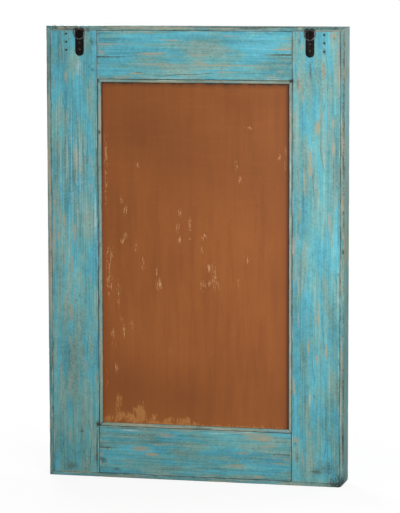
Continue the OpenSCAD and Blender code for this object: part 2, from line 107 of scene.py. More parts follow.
def seed_of(name: str) -> int:
    """A fixed number for the random marks of the piece of that name."""
    return zlib.crc32(name.encode())


# ---- the camera and the marks that are placed by it ----


@dataclass(frozen=True)
class PhotoCamera:
    """The camera where the photograph was taken: behind the frame, a little above its middle."""

    width_px: int = 400
    height_px: int = 513
    focal_px: float = 2699.65
    azimuth: float = math.radians(13.772)
    elevation: float = math.radians(6.552)
    roll: float = math.radians(-0.1215)
    location: tuple[float, float, float] = (-1.28727, 5.20292, 1.07169)
    sensor: float = 36.0

    def axes(self) -> tuple[Vector, Vector, Vector]:
        """The camera's right, up and looking directions in the frame's own directions.

        Returns:
            Three unit vectors.
        """
        a, e, r = self.azimuth, self.elevation, self.roll
        look = Vector((math.sin(a) * math.cos(e), -math.cos(a) * math.cos(e), -math.sin(e)))
        level = Vector((-math.cos(a), -math.sin(a), 0.0))
        rise = level.cross(look)
        right = level * math.cos(r) + rise * math.sin(r)
        up = rise * math.cos(r) - level * math.sin(r)
        return right, up, look

    def on_plane(self, px: float, py: float, y: float) -> Vector:
        """The point of the plane at that y which the photograph shows at a pixel.

        Args:
            px: Pixel from the photograph's left edge.
            py: Pixel from its top edge.
            y: The plane's place.

        Returns:
            The point, in metres.
        """
        right, up, look = self.axes()
        ray = look + right * ((px - self.width_px / 2) / self.focal_px)
        ray -= up * ((py - self.height_px / 2) / self.focal_px)
        start = Vector(self.location)
        return start + ray * ((y - start.y) / ray.y)

    def build(self) -> Object:
        """Makes the scene's camera.

        Returns:
            The camera.
        """
        data = bpy.data.cameras.new("photo_camera")
        data.sensor_width = self.sensor
        data.lens = self.focal_px / self.height_px * self.sensor
        data.clip_start, data.clip_end = 0.1, 50.0
        camera = bpy.data.objects.new("photo_camera", data)
        right, up, look = self.axes()
        camera.matrix_world = Matrix((
            (right.x, up.x, -look.x, self.location[0]),
            (right.y, up.y, -look.y, self.location[1]),
            (right.z, up.z, -look.z, self.location[2]),
            (0.0, 0.0, 0.0, 1.0),
        ))
        bpy.context.scene.collection.objects.link(camera)
        bpy.context.scene.camera = camera
        return camera


class MarkKind(Enum):
    """What a mark on a painted or stained face is. The value is its channel."""

    RUB = 0
    GRIME = 1
    PALE = 2
    FRESH = 3


@dataclass(frozen=True)
class Mark:
    """One worn or dirty place, at a pixel of the photograph, with its length and width in millimetres."""

    kind: MarkKind
    px: float
    py: float
    long: float
    wide: float
    strength: float = 1.0


RUB, GRIME, PALE, FRESH = MarkKind


def spots(kind: MarkKind, *rows: tuple[float, ...]) -> tuple[Mark, ...]:
    """Marks of one kind, from pixels across and down, length, width and strength."""
    return tuple(Mark(kind, *row) for row in rows)


BOARD_MARKS: tuple[Mark, ...] = (
    # broad stretches where the paint is fresher, or more faded
    # on the left stile (x near 75) they are also painted light and shade: lighter at the top, darker low down
    *spots(FRESH, (75, 45, 180, 80, 1.1), (75, 165, 300, 80, 0.2), (255, 45, 140, 70, 2.0),
        (150, 50, 120, 60, 0.4), (315, 350, 240, 70, 0.5), (75, 398, 170, 80, -0.35),
        (315, 112, 70, 70, -0.4), (315, 60, 90, 70, 0.3), (345.5, 400, 190, 7, 1.1),
        (344.5, 130, 420, 7, -1.2)),
    *spots(GRIME, (316, 72, 110, 70, 0.42), (343.4, 108, 210, 5, 0.62), (238, 27.1, 330, 1.7, 1.35),
        (330, 468, 40, 34, 0.5)),
    *spots(RUB, (195, 28, 330, 4, 0.5), (289.8, 330, 420, 3, 0.7)),
    *spots(PALE, (75, 172, 300, 70, 0.45), (290, 250, 680, 3, 0.6)),
    # stile under the hanger at the photograph's left
    *spots(RUB, (76.6, 160, 46, 6, 1.15), (70, 136, 30, 5, 0.5), (76, 178, 20, 4, 0.6),
        (74.5, 232, 32, 8, 0.95), (64.5, 220, 30, 6, 0.7), (59, 236, 24, 5, 0.5), (78, 246, 26, 4, 0.6),
        (72, 266, 40, 5, 0.6), (91, 188, 26, 5, 0.5), (71, 313, 40, 8, 0.7), (70, 340, 30, 7, 0.7),
        (86, 367, 30, 8, 0.6), (70, 385, 60, 6, 0.6), (70, 435, 36, 5, 0.6), (57, 375, 24, 5, 0.4),
        (96, 379, 30, 5, 0.5), (90, 160, 30, 5, 0.4), (66, 76, 26, 8, 0.6), (96, 455, 12, 5, 0.8),
        (49.8, 225, 330, 6, 0.75), (54, 225, 260, 12, 0.42), (48.5, 275, 40, 5, 1.0), (48, 170, 60, 4, 0.7),
        (50, 425, 16, 6, 1.0), (60, 28, 20, 5, 0.4)),
    *spots(PALE, (78, 69, 34, 16, 0.55), (80, 62, 20, 12, 0.35), (66, 84, 12, 5, 0.5), (92, 66.5, 4, 4, 1.0),
        (79, 450, 10, 8, 0.5), (95.3, 225, 170, 4, 0.75)),
    *spots(GRIME, (97.2, 57, 100, 1.4, 1.9), (97.2, 447, 86, 1.4, 1.5), (60, 24.5, 70, 3, 0.9),
        (92, 41, 18, 10, 0.7), (71, 31, 10, 16, 0.45), (88, 31, 8, 10, 0.6), (93, 70, 7, 7, 1.0),
        (89.5, 65.5, 4, 6, 1.1), (65, 34, 5, 4, 1.2), (65.3, 41.5, 5, 4, 1.2), (65.8, 49.5, 5, 5, 1.3),
        (91.2, 151.5, 4, 3, 0.9), (80, 193, 3, 3, 0.9), (87.5, 198, 3, 3, 0.8), (88.7, 214.4, 3, 3, 0.9),
        (89.8, 224.6, 4, 3.5, 1.3), (68, 202, 8, 5, 0.5), (82, 431, 8, 6, 1.2), (79, 452, 12, 3, 0.9),
        (84, 451, 10, 3, 0.9), (86, 469, 4, 4, 1.2), (96, 458, 26, 7, 0.8), (72, 465, 12, 26, 0.8),
        (98.5, 424, 9, 8, 2.1), (79.6, 295, 5, 3, 0.9), (99, 132, 9, 6, 2.0), (100, 245, 6, 4, 1.0),
        # the broad dim patch low on the left stile at (72, 345) is dirt with painted shade towards the bottom
        (90, 48, 34, 12, 0.38), (70, 44, 26, 8, 0.32), (72, 345, 230, 90, 0.36), (66, 26, 12, 22, 0.7),
        (87, 29, 10, 14, 0.7), (52, 275, 24, 6, 0.5), (55, 27, 20, 9, 0.9), (48, 110, 30, 5, 0.5),
        (75, 27, 16, 9, 0.4), (47.5, 60, 24, 5, 0.5)),
    # stile under the hanger at its right
    *spots(GRIME, (298, 84, 22, 9, 0.6), (303, 91, 18, 5, 0.5), (289.2, 55, 90, 1.4, 1.7),
        (289.4, 455, 76, 1.4, 1.4), (340.3, 62, 110, 2.2, 1.2), (299.6, 41, 14, 5, 0.9),
        (338.5, 275, 10, 4, 0.7), (306.2, 211.5, 4, 3.5, 1.2), (312.5, 187, 4, 3, 0.8), (343, 252, 9, 4, 1.2),
        (343.5, 213, 6, 3, 1.0), (322, 468, 30, 60, 0.35), (316, 472, 10, 20, 0.9), (330, 439, 20, 10, 0.5),
        (334.5, 38.5, 4, 5, 1.0), (338, 34, 5, 5, 0.8), (295, 444, 10, 6, 0.8), (297, 458, 26, 7, 0.8),
        (310.4, 70, 44, 1.6, 1.6), (314, 397, 8, 3, 1.0), (315.5, 426.5, 4, 3, 0.9), (344, 36, 26, 4, 0.7),
        (344, 62, 22, 4, 0.7), (324.4, 35, 6, 5, 1.2), (324.4, 43.2, 6, 5, 1.2), (324.3, 51.6, 7, 5, 1.3),
        (291.5, 81, 9, 7, 2.0), (98.5, 81, 6, 5, 1.2), (292, 88, 20, 3, 0.8), (292.4, 250, 640, 2.4, 1.3),
        (343.4, 240, 620, 4, 0.64), (343, 440, 40, 5, 0.9), (343.6, 460, 64, 6, 0.9),
        (342.8, 425, 150, 3.4, 0.6), (336, 26, 5, 30, 0.7)),
    *spots(RUB, (300, 86, 26, 10, 0.7), (338.6, 62, 100, 3, 0.7), (303, 98, 18, 6, 0.7),
        (299, 36, 12, 4, 0.8), (317, 128, 24, 8, 1.15), (333, 148, 36, 6, 1.1), (333, 122, 20, 5, 0.8),
        (311, 160, 36, 5, 0.7), (304, 178, 40, 4, 0.8), (311, 172, 14, 6, 0.8), (324, 70, 26, 6, 0.6),
        (330, 222, 40, 6, 0.6), (293.5, 245, 44, 4, 0.9), (340, 282, 26, 4, 0.9), (308, 347, 30, 5, 0.6),
        (317, 359, 20, 5, 1.0), (326, 353, 30, 5, 0.8), (298, 321, 34, 5, 0.6), (310, 433, 22, 12, 0.2),
        (315, 464, 16, 16, 0.2), (334, 36, 8, 9, 1.2), (296.5, 440, 10, 7, 1.2), (294, 387, 26, 5, 0.8),
        (295, 120, 40, 4, 0.5), (303, 48, 14, 6, 0.5), (344, 150, 60, 4, 0.8), (342.5, 205, 30, 5, 0.9),
        (343, 236, 16, 5, 0.9), (300, 28, 6, 30, 0.5)),
    *spots(PALE, (309.6, 399, 34, 7, 0.6)),
    # top rail
    *spots(RUB, (153, 64.4, 110, 2.8, 0.85), (224, 65.4, 150, 2.8, 0.8), (255, 65.8, 50, 2.6, 0.4),
        (200, 55, 44, 2.4, 1.1), (281, 72, 16, 8, 0.45), (126, 77.5, 24, 2.4, 1.0), (136, 73.5, 24, 2.4, 0.9),
        (118, 78, 34, 2.6, 0.7), (101, 51, 12, 12, 0.6), (172, 40, 50, 3, 0.4), (226, 47, 50, 3, 0.45),
        (103, 54, 12, 3, 0.6)),
    *spots(PALE, (262, 45, 70, 22, 0.4), (239, 53.5, 24, 5, 0.6), (202, 74, 34, 10, 0.5)),
    *spots(GRIME, (128, 76.2, 18, 2, 0.9), (139, 72.4, 20, 2, 0.9), (157, 49.5, 7, 3, 0.9),
        (274, 56.3, 44, 2.6, 0.6), (106, 55, 16, 2.6, 0.5), (145, 79, 40, 4, 0.5)),
    # bottom rail
    *spots(PALE, (264, 438, 22, 8, 0.5), (132, 430.5, 50, 5, 0.7), (215, 433.5, 60, 5, 0.6)),
    *spots(RUB, (264, 438, 30, 10, 1.5), (164, 435.5, 36, 8, 0.7), (142, 449, 40, 9, 0.75),
        (152, 454, 24, 5, 0.7), (242, 453, 30, 5, 1.0), (270, 446, 34, 5, 0.9), (237, 466, 36, 5, 0.7),
        (259, 477, 20, 4, 1.0), (166, 473, 24, 4, 0.7), (195, 429.6, 330, 10, 0.42), (101, 455, 10, 9, 0.9),
        (200, 470, 34, 5, 0.4), (205, 446, 30, 4, 0.6), (285, 460, 20, 4, 0.6)),
    *spots(GRIME, (117, 469, 18, 5, 1.0), (245, 455, 170, 60, 0.3), (103, 460, 20, 14, 0.9),
        (275, 438, 10, 4, 0.7), (108, 447, 12, 20, 0.4), (250, 470, 40, 4, 0.5)),
)

PANEL_MARKS: tuple[Mark, ...] = (
    *spots(PALE, (121, 200, 14, 4, 0.8), (126, 212, 22, 8, 0.85), (125, 235, 15, 6, 1.35),
        (122, 241, 9, 5, 1.2), (138, 166, 12, 5, 0.7), (136, 245, 24, 5, 0.8), (143, 264, 26, 6, 0.9),
        (159, 284, 18, 11, 1.5), (157, 271, 20, 6, 0.9), (180, 214, 16, 6, 0.9), (178, 228, 20, 5, 0.8),
        (179.5, 241, 13, 6, 1.2), (190, 224, 30, 4, 0.8), (190, 238, 8, 4, 1.1), (204, 238, 14, 7, 1.3),
        (202, 250, 12, 4, 0.9), (209, 268, 12, 7, 1.1), (203, 286, 20, 8, 0.9), (209, 284, 12, 5, 0.8),
        (218, 288, 16, 6, 0.8), (239, 283, 16, 6, 0.8), (246, 260, 14, 14, 0.5), (236, 166, 26, 6, 0.5),
        (240, 180, 14, 10, 0.5), (250, 128, 5, 26, 0.6), (279, 157, 14, 6, 0.7), (112, 256, 30, 5, 0.8),
        (110, 280, 40, 7, 0.9), (113, 333, 18, 5, 1.0), (114, 344, 10, 6, 0.9), (124, 330, 26, 6, 0.75),
        (132, 326, 28, 7, 0.65), (116.5, 367, 18, 5, 1.05), (106, 150, 90, 4, 0.6), (171, 352, 20, 4, 0.5),
        (122, 318, 10, 4, 0.8), (105.6, 175, 130, 5, 0.75), (108, 268, 90, 6, 0.9), (286, 160, 60, 5, 0.6),
        (118, 290, 60, 10, 0.5), (214, 276, 50, 10, 0.6)),
    *spots(RUB, (119, 404, 34, 12, 0.8), (127, 416, 16, 30, 0.9), (139, 411, 22, 20, 1.0),
        (141, 419, 12, 40, 1.0), (110, 419, 14, 20, 0.8), (168, 420, 14, 22, 1.0), (186, 421, 12, 24, 0.8),
        (196, 424, 7, 16, 0.9), (185, 425, 5, 180, 0.65), (245, 427, 5, 150, 0.8), (107, 380, 60, 6, 0.35),
        (106, 421, 20, 14, 0.9), (119, 418, 30, 14, 0.8), (133, 421, 20, 24, 0.9), (142, 412, 34, 14, 0.9),
        (155, 420, 22, 14, 0.9), (162, 424, 10, 40, 0.9), (181, 422, 14, 14, 0.8)),
    *spots(GRIME, (257, 205.5, 3, 3, 1.1), (140, 130, 190, 190, 0.75), (205, 150, 220, 190, 0.5),
        (262, 170, 180, 110, 0.35), (125, 385, 120, 130, 0.75), (185, 400, 100, 160, 0.65),
        (120, 230, 160, 70, 0.4), (255, 100, 60, 200, 0.35), (270, 410, 60, 120, 0.3)),
)


# ---- nodes ----


class Graph:
    """Adds nodes to one node tree, and takes and gives sockets as if they were values."""

    def __init__(self, tree: NodeTree) -> None:
        """Keeps the tree that the nodes go into."""
        self.tree = tree

    def put(self, socket: Socket, value: object) -> None:
        """Links a socket or sets its value; None leaves it as it is.

        Args:
            socket: The input.
            value: A socket, a plain value or None.
        """
        if isinstance(value, Socket):
            self.tree.links.new(value, socket)
        elif value is not None:
            socket.default_value = value

    def feed(self, node: Node, inputs: Inputs) -> None:
        """Fills a node's inputs, which are given by name or number."""
        for key, value in inputs.items():
            self.put(node.inputs[key], value)

    def node(self, kind: str, inputs: Inputs | None = None, **settings: object) -> Node:
        """Adds one node.

        Args:
            kind: The node's type.
            inputs: Values or sockets for its inputs, by name or number.
            settings: The node's own properties.

        Returns:
            The node.
        """
        made = self.tree.nodes.new(kind)
        for name, value in settings.items():
            setattr(made, name, value)
        self.feed(made, inputs or {})
        return made

    def math(self, operation: str, *values: object, clamp: bool = False) -> Socket:
        """The result of a Math node."""
        inputs = dict(enumerate(values))
        return self.node("ShaderNodeMath", inputs, operation=operation, use_clamp=clamp).outputs[0]

    def times(self, a: object, b: object) -> Socket:
        """The product of two values."""
        return self.math("MULTIPLY", a, b)

    def plus(self, a: object, b: object) -> Socket:
        """The sum of two values."""
        return self.math("ADD", a, b)

    def minus(self, a: object, b: object) -> Socket:
        """One value less another."""
        return self.math("SUBTRACT", a, b)

    def vector(self, operation: str, *values: object) -> Socket:
        """The vector that a Vector Math node gives."""
        inputs = dict(enumerate(values))
        return self.node("ShaderNodeVectorMath", inputs, operation=operation).outputs["Vector"]

    def distance(self, here: object, there: object) -> Socket:
        """How far apart two points are."""
        inputs = {0: here, 1: there}
        return self.node("ShaderNodeVectorMath", inputs, operation="DISTANCE").outputs["Value"]

    def xyz(self, x: object = None, y: object = None, z: object = None) -> Socket:
        """A vector of three values."""
        return self.node("ShaderNodeCombineXYZ", {"X": x, "Y": y, "Z": z}).outputs[0]

    def parts(self, vector: object) -> Sequence[Socket]:
        """The three values in a vector."""
        return self.node("ShaderNodeSeparateXYZ", {"Vector": vector}).outputs

    def mix(self, factor: object, a: object, b: object, blend: str = "MIX") -> Socket:
        """Colour b over colour a, by a factor."""
        inputs = {0: factor, 6: a, 7: b}
        return self.node("ShaderNodeMix", inputs, data_type="RGBA", blend_type=blend).outputs[2]

    def rise(self, value: object, low: object, high: object, top: object = 1.0) -> Socket:
        """A smooth rise from 0 at low to top at high. With low over high it falls."""
        inputs = {0: value, 1: low, 2: high, 3: 0.0, 4: top}
        return self.node("ShaderNodeMapRange", inputs, interpolation_type="SMOOTHSTEP").outputs[0]

    def fall(self, value: object, low: object, high: object, top: object = 1.0) -> Socket:
        """A smooth fall from top at low to 0 at high."""
        inputs = {0: value, 1: low, 2: high, 3: top, 4: 0.0}
        return self.node("ShaderNodeMapRange", inputs, interpolation_type="SMOOTHSTEP").outputs[0]

    def blend_values(self, *parts: tuple[Socket, float]) -> Socket:
        """The sum of some values, each with its weight.

        Args:
            parts: Pairs of value and weight.

        Returns:
            The sum.
        """
        total: object = 0.0
        for value, weight in parts:
            total = self.math("MULTIPLY_ADD", value, weight, total)
        return total

    def noise(self, vector: object, scale: object, detail: float = 2.0, roughness: float = 0.5) -> Socket:
        """The value of a Noise Texture."""
        inputs = {"Vector": vector, "Scale": scale, "Detail": detail, "Roughness": roughness}
        return self.node("ShaderNodeTexNoise", inputs).outputs[0]

    def attribute(self, name: str, output: str = "Vector") -> Socket:
        """What the mesh holds under that name."""
        return self.node("ShaderNodeAttribute", attribute_name=name).outputs[output]

    def here(self) -> Socket:
        """The place on the object."""
        return self.node("ShaderNodeTexCoord").outputs["Object"]

    def group(self, tree: NodeTree, inputs: Inputs) -> Node:
        """Places a shader group."""
        return self.node("ShaderNodeGroup", inputs, node_tree=tree)

    def bump(self, shader: Node, strength: float, distance: float, height: Socket) -> None:
        """Roughens a shader's normal by a height of 0 to 1, where 1 is that distance."""
        inputs = {"Strength": strength, "Distance": distance, "Height": height}
        self.put(shader.inputs["Normal"], self.node("ShaderNodeBump", inputs).outputs[0])

    def draw(self, low: object, high: object, seed: object) -> Socket:
        """A random number between two others for every element.

        Args:
            low: The least.
            high: The most.
            seed: Fixes the draw.

        Returns:
            The number.
        """
        made = self.node("FunctionNodeRandomValue", data_type="FLOAT")
        wanted = {"Min": low, "Max": high, "Seed": seed}
        for socket in made.inputs:
            if socket.enabled and socket.name in wanted:
                self.put(socket, wanted[socket.name])
        return next(s for s in made.outputs if s.enabled)


def cleared(owner: Material | bpy.types.World) -> Graph:
    """The graph of a material or a world, emptied.

    Args:
        owner: The material or world.

    Returns:
        Its graph.
    """
    owner.use_nodes = True
    owner.node_tree.nodes.clear()
    return Graph(owner.node_tree)


def new_group(name: str, kind: str, inputs: dict[str, tuple[str, object]],
              outputs: dict[str, str]) -> tuple[Graph, Node, Node]:
    """Starts a node group with named sockets.

    Args:
        name: The group's name.
        kind: ShaderNodeTree or GeometryNodeTree.
        inputs: Each input's name, with its socket type and default value.
        outputs: Each output's name, with its socket type.

    Returns:
        The graph, its Group Input and its Group Output.
    """
    tree = bpy.data.node_groups.new(name, kind)
    for label, (socket_type, default) in inputs.items():
        made = tree.interface.new_socket(label, in_out="INPUT", socket_type=f"NodeSocket{socket_type}")
        if default is not None:
            made.default_value = default
    for label, socket_type in outputs.items():
        tree.interface.new_socket(label, in_out="OUTPUT", socket_type=f"NodeSocket{socket_type}")
    graph = Graph(tree)
    return graph, tree.nodes.new("NodeGroupInput"), tree.nodes.new("NodeGroupOutput")


class SharedEffects:
    """Shader groups that more than one finish uses, each built once."""

    def __init__(self) -> None:
        """Builds the groups."""
        self.streaks = self._streaks()
        self.edges = self._edges()
        self.blotches = self._blotches()

    @staticmethod
    def _streaks() -> NodeTree:
        """Long streaks along the grain, from 0 to 1.

        Returns:
            The group.
        """
        graph, start, end = new_group(
            "streaks", "ShaderNodeTree",
            {"Grain": ("Vector", None), "Long": ("Float", 0.1), "Wide": ("Float", 0.01),
             "Detail": ("Float", 2.0), "Offset": ("Float", 0.0)},
            {"Value": "Float"})
        along = graph.math("DIVIDE", 1.0, start.outputs["Long"])
        across = graph.math("DIVIDE", 1.0, start.outputs["Wide"])
        place = graph.vector("MULTIPLY", start.outputs["Grain"], graph.xyz(along, across, across))
        place = graph.vector("ADD", place, start.outputs["Offset"])
        value = graph.noise(place, 1.0, 2.0, 0.55)
        graph.put(value.node.inputs["Detail"], start.outputs["Detail"])
        graph.put(end.inputs["Value"], value)
        return graph.tree

    @staticmethod
    def _edges() -> NodeTree:
        """Distance to the nearest edge of a bar, and to the nearest joint with its neighbours.

        Returns:
            The group.
        """
        graph, start, end = new_group(
            "edge_distance", "ShaderNodeTree",
            {"Grain": ("Vector", None), "Half": ("Vector", None), "Joints": ("Vector", None),
             "Last Joint": ("Float", 1.0)},
            {"Edge": "Float", "Joint": "Float"})
        off_middle = graph.vector("ABSOLUTE", start.outputs["Grain"])
        parts = graph.parts(graph.vector("SUBTRACT", start.outputs["Half"], off_middle))
        low = graph.math("MINIMUM", parts[0], parts[1])
        high = graph.math("MAXIMUM", parts[0], parts[1])
        middle = graph.math("MAXIMUM", low, graph.math("MINIMUM", high, parts[2]))
        graph.put(end.inputs["Edge"], middle)
        joints = graph.parts(start.outputs["Joints"])
        nearest = graph.math("MINIMUM", graph.math("MINIMUM", joints[0], joints[1]), joints[2])
        graph.put(end.inputs["Joint"], graph.math("MINIMUM", nearest, start.outputs["Last Joint"]))
        return graph.tree

    @staticmethod
    def _blotches() -> NodeTree:
        """Soft patches of one size, from 0 to 1, with a set share of the surface in them.

        Returns:
            The group.
        """
        graph, start, end = new_group(
            "blotches", "ShaderNodeTree",
            {"Place": ("Vector", None), "Size": ("Float", 0.02), "Share": ("Float", 0.5),
             "Soft": ("Float", 0.1)},
            {"Value": "Float"})
        rate = graph.math("DIVIDE", 1.0, start.outputs["Size"])
        value = graph.noise(start.outputs["Place"], rate, 3.0, 0.6)
        level = graph.minus(0.75, graph.times(start.outputs["Share"], 0.5))
        low = graph.minus(level, start.outputs["Soft"])
        high = graph.plus(level, start.outputs["Soft"])
        graph.put(end.inputs["Value"], graph.rise(value, low, high))
        return graph.tree


# ---- finishes ----


class Finish:
    """A procedural material with a Principled shader."""

    name: str

    def start(self) -> tuple[Material, Graph, Node]:
        """Makes the material, and gives its graph and its Principled node.

        Returns:
            The three, in that order.
        """
        material = bpy.data.materials.new(self.name)
        graph = cleared(material)
        shader = graph.node("ShaderNodeBsdfPrincipled")
        graph.node("ShaderNodeOutputMaterial", {"Surface": shader.outputs[0]})
        return material, graph, shader


@dataclass(frozen=True)
class RubbedPaint(Finish):
    """Turquoise paint rubbed through along the grain, dark glaze in the joints, painted shade where set."""

    name: str
    effects: SharedEffects
    sky: Colour = srgb(88, 168, 184)
    teal: Colour = srgb(104, 166, 168)
    sage: Colour = srgb(128, 164, 158)
    deep: Colour = srgb(50, 92, 94)
    halo: Colour = srgb(144, 160, 148)
    bare: Colour = srgb(170, 156, 128)
    glaze: Colour = srgb(36, 42, 40)
    grime: Colour = srgb(70, 70, 60)
    pale: Colour = srgb(200, 214, 210)
    contrast: float = 3.55
    wear: float = 1.0
    edge_bare: float = 0.4
    edge_dark: float = 0.0
    joint_dark: float = 0.92
    painted_foot_shade: float = 0.4
    front_glaze_and_shade: float = 0.0
    painted_side_shade: Colour | None = None
    gloss: float = 0.25
    knocked_corner: tuple[float, float, float] = (-0.3048, 0.0, 0.0)

    def material(self) -> Material:
        """Builds the material.

        Returns:
            The material.
        """
        material, g, shader = self.start()
        fx = self.effects
        grain = g.attribute("grain")
        shift = g.attribute("shift", "Fac")
        place = g.vector("ADD", grain, g.vector("MULTIPLY", shift, (0.37, 0.61, 0.23)))

        def streaks(long: float, wide: float, detail: float, offset: float) -> Socket:
            """Streaks of that size on this board."""
            named = {"Grain": place, "Long": long, "Wide": wide, "Detail": detail, "Offset": offset}
            return g.group(fx.streaks, named).outputs[0]

        broad = streaks(0.16, 0.032, 2.0, 1.0)
        medium = streaks(0.085, 0.013, 2.0, 7.0)
        slim = streaks(0.12, 0.0050, 2.0, 13.0)
        fine = streaks(0.13, 0.0021, 1.0, 19.0)
        hair = streaks(0.030, 0.0009, 1.0, 29.0)
        patch = g.noise(place, 24.0, 3.0, 0.55)
        mottle = g.noise(place, 230.0, 2.0, 0.6)

        marks = g.parts(g.attribute("marks"))
        half = g.attribute("half")
        named = {"Grain": grain, "Half": half, "Joints": g.attribute("seams"),
                 "Last Joint": g.attribute("seams", "Alpha")}
        edges = g.group(fx.edges, named).outputs

        fresh = g.attribute("marks", "Alpha")
        hue = g.blend_values((broad, 0.26), (medium, 0.58), (patch, 0.16), (fresh, -0.06))
        colour = g.mix(g.rise(hue, 0.42, 0.51), self.sky, self.teal)
        colour = g.mix(g.rise(hue, 0.49, 0.60), colour, self.sage)
        clouds = g.noise(place, 62.0, 3.0, 0.6)
        shade = g.blend_values(
            (streaks(0.16, 0.045, 2.0, 81.0), 0.27), (streaks(0.20, 0.013, 2.0, 87.0), 0.14),
            (slim, 0.10), (fine, 0.20), (mottle, 0.16), (clouds, 0.13))
        level = g.math("MULTIPLY_ADD", shade, self.contrast, 0.96 - self.contrast * 0.51)
        level = g.math("MULTIPLY_ADD", fresh, 0.06, level)
        colour = g.mix(1.0, colour, level, "MULTIPLY")
        specks = g.rise(g.noise(place, 260.0, 0.0), 0.78, 0.83, 0.7)
        colour = g.mix(g.times(specks, g.rise(medium, 0.48, 0.6)), colour, self.deep)
        across = g.parts(place)[1]
        bend = g.times(streaks(0.28, 0.20, 2.0, 91.0), 0.09)
        apart = g.math("PINGPONG", g.plus(across, bend), 0.0125)
        cracked = g.rise(streaks(0.13, 0.016, 2.0, 95.0), 0.53, 0.62)
        crack = g.times(g.fall(apart, 0.0001, 0.0008, 0.6), cracked)
        colour = g.mix(crack, colour, self.glaze)

        chance = g.rise(streaks(0.09, 0.009, 2.0, 51.0), 0.54, 0.80, 0.46 * self.wear)
        rub = g.plus(g.times(marks[0], 0.70), chance)
        ragged = g.blend_values((streaks(0.07, 0.0048, 3.0, 57.0), 1.8), (slim, 0.5), (mottle, 0.4))
        soft = g.plus(rub, g.minus(ragged, 1.35))
        torn = g.blend_values((fine, 1.8), (mottle, 1.4))
        torn = g.plus(soft, g.minus(torn, 1.60))
        present = g.rise(g.plus(marks[0], chance), 0.05, 0.35)
        halo = g.times(g.rise(soft, -0.15, 0.55, 0.92), present)
        fibres = g.rise(g.blend_values((fine, 0.6), (mottle, 0.4)), 0.42, 0.56)
        core = g.times(g.rise(torn, 0.32, 0.88, 0.90), present)
        core = g.times(core, g.math("MULTIPLY_ADD", fibres, 0.65, 0.35))
        colour = g.mix(halo, colour, self.halo)
        colour = g.mix(core, colour, self.bare)

        grit = g.noise(place, 320.0, 3.0, 0.6)
        pale = g.plus(marks[2], g.blend_values((fine, 2.0), (grit, 0.8)))
        pale = g.times(g.rise(pale, 1.70, 2.50, 0.75), g.rise(marks[2], 0.02, 0.15))
        colour = g.mix(pale, colour, self.pale)
        colour = g.mix(g.rise(hair, 0.62, 0.78, 0.35), colour, self.deep)
        here = g.here()
        low = g.parts(here)[2]
        # darker towards the bottom: painted shade of the light falling off towards the floor, partly dirtier
        # paint low down
        colour = g.mix(g.fall(low, 0.0, 0.40, self.painted_foot_shade), colour, srgb(206, 222, 220), "MULTIPLY")

        wander = g.times(g.minus(streaks(0.014, 0.007, 3.0, 41.0), 0.5), 0.007)
        edge = g.plus(edges[0], wander)
        free = g.rise(edges[1], 0.002, 0.005)
        worn_edge = g.times(g.fall(edge, 0.0004, 0.0022, self.edge_bare), free)
        colour = g.mix(worn_edge, colour, self.bare)
        broken = g.rise(streaks(0.03, 0.012, 3.0, 61.0), 0.36, 0.60)
        dark_edge = g.times(g.fall(edge, 0.0002, 0.0018, self.edge_dark), broken)
        colour = g.mix(dark_edge, colour, self.glaze)

        dirt = g.group(fx.blotches, {"Place": place, "Size": 0.014, "Share": 0.55, "Soft": 0.16}).outputs[0]
        stain = g.plus(marks[1], g.blend_values((grit, 1.6), (fine, 0.8)))
        stain = g.times(g.rise(stain, 1.30, 2.50, 0.9), g.rise(marks[1], 0.02, 0.12))
        colour = g.mix(stain, colour, self.grime)
        black = g.plus(marks[1], g.times(grit, 0.5))
        colour = g.mix(g.rise(black, 1.5, 2.0, 0.85), colour, self.glaze)
        knocked = g.math("MULTIPLY_ADD", grit, 0.060, g.distance(here, self.knocked_corner))
        colour = g.mix(g.fall(knocked, 0.038, 0.068, 0.88), colour, self.glaze)
        film = g.fall(g.plus(edges[1], g.times(wander, 1.5)), 0.0005, 0.007, 0.25)
        colour = g.mix(g.times(film, dirt), colour, self.grime)
        chipped = g.times(g.fall(edges[1], 0.0018, 0.0034), g.rise(edges[1], 0.0006, 0.0012))
        chips = g.rise(streaks(0.05, 0.02, 2.0, 71.0), 0.46, 0.66, 0.4)
        colour = g.mix(g.times(chipped, chips), colour, self.pale)
        filled = g.plus(0.45, g.times(g.rise(streaks(0.09, 0.04, 3.0, 65.0), 0.36, 0.52), 0.55))
        joint = g.times(g.fall(edges[1], 0.0004, 0.0012, self.joint_dark), filled)
        colour = g.mix(joint, colour, self.glaze)
        # brown on the bead's side next to the panel: dark glaze with painted shade in the recess
        if self.front_glaze_and_shade:
            depth = g.parts(g.vector("SUBTRACT", half, grain))[2]
            stained = g.fall(g.plus(depth, wander), 0.0020, 0.0065, self.front_glaze_and_shade)
            colour = g.mix(stained, colour, srgb(84, 62, 42))
        # side faces darker and bluer: painted shade on the faces that turn away from the light
        if self.painted_side_shade:
            behind = g.parts(g.vector("ADD", half, grain))[2]
            colour = g.mix(g.rise(behind, 0.0012, 0.0040), colour, self.painted_side_shade, "MULTIPLY")

        dull = g.plus(0.55, g.times(halo, 0.14))
        dull = g.plus(dull, g.times(g.minus(fine, 0.5), 0.25))
        g.feed(shader, {"Base Color": colour, "Roughness": dull, "Specular IOR Level": self.gloss})
        height = g.blend_values((fine, 0.6), (hair, -0.5), (halo, -0.3), (core, -0.3))
        g.bump(shader, 0.5, 0.0006, height)
        return material


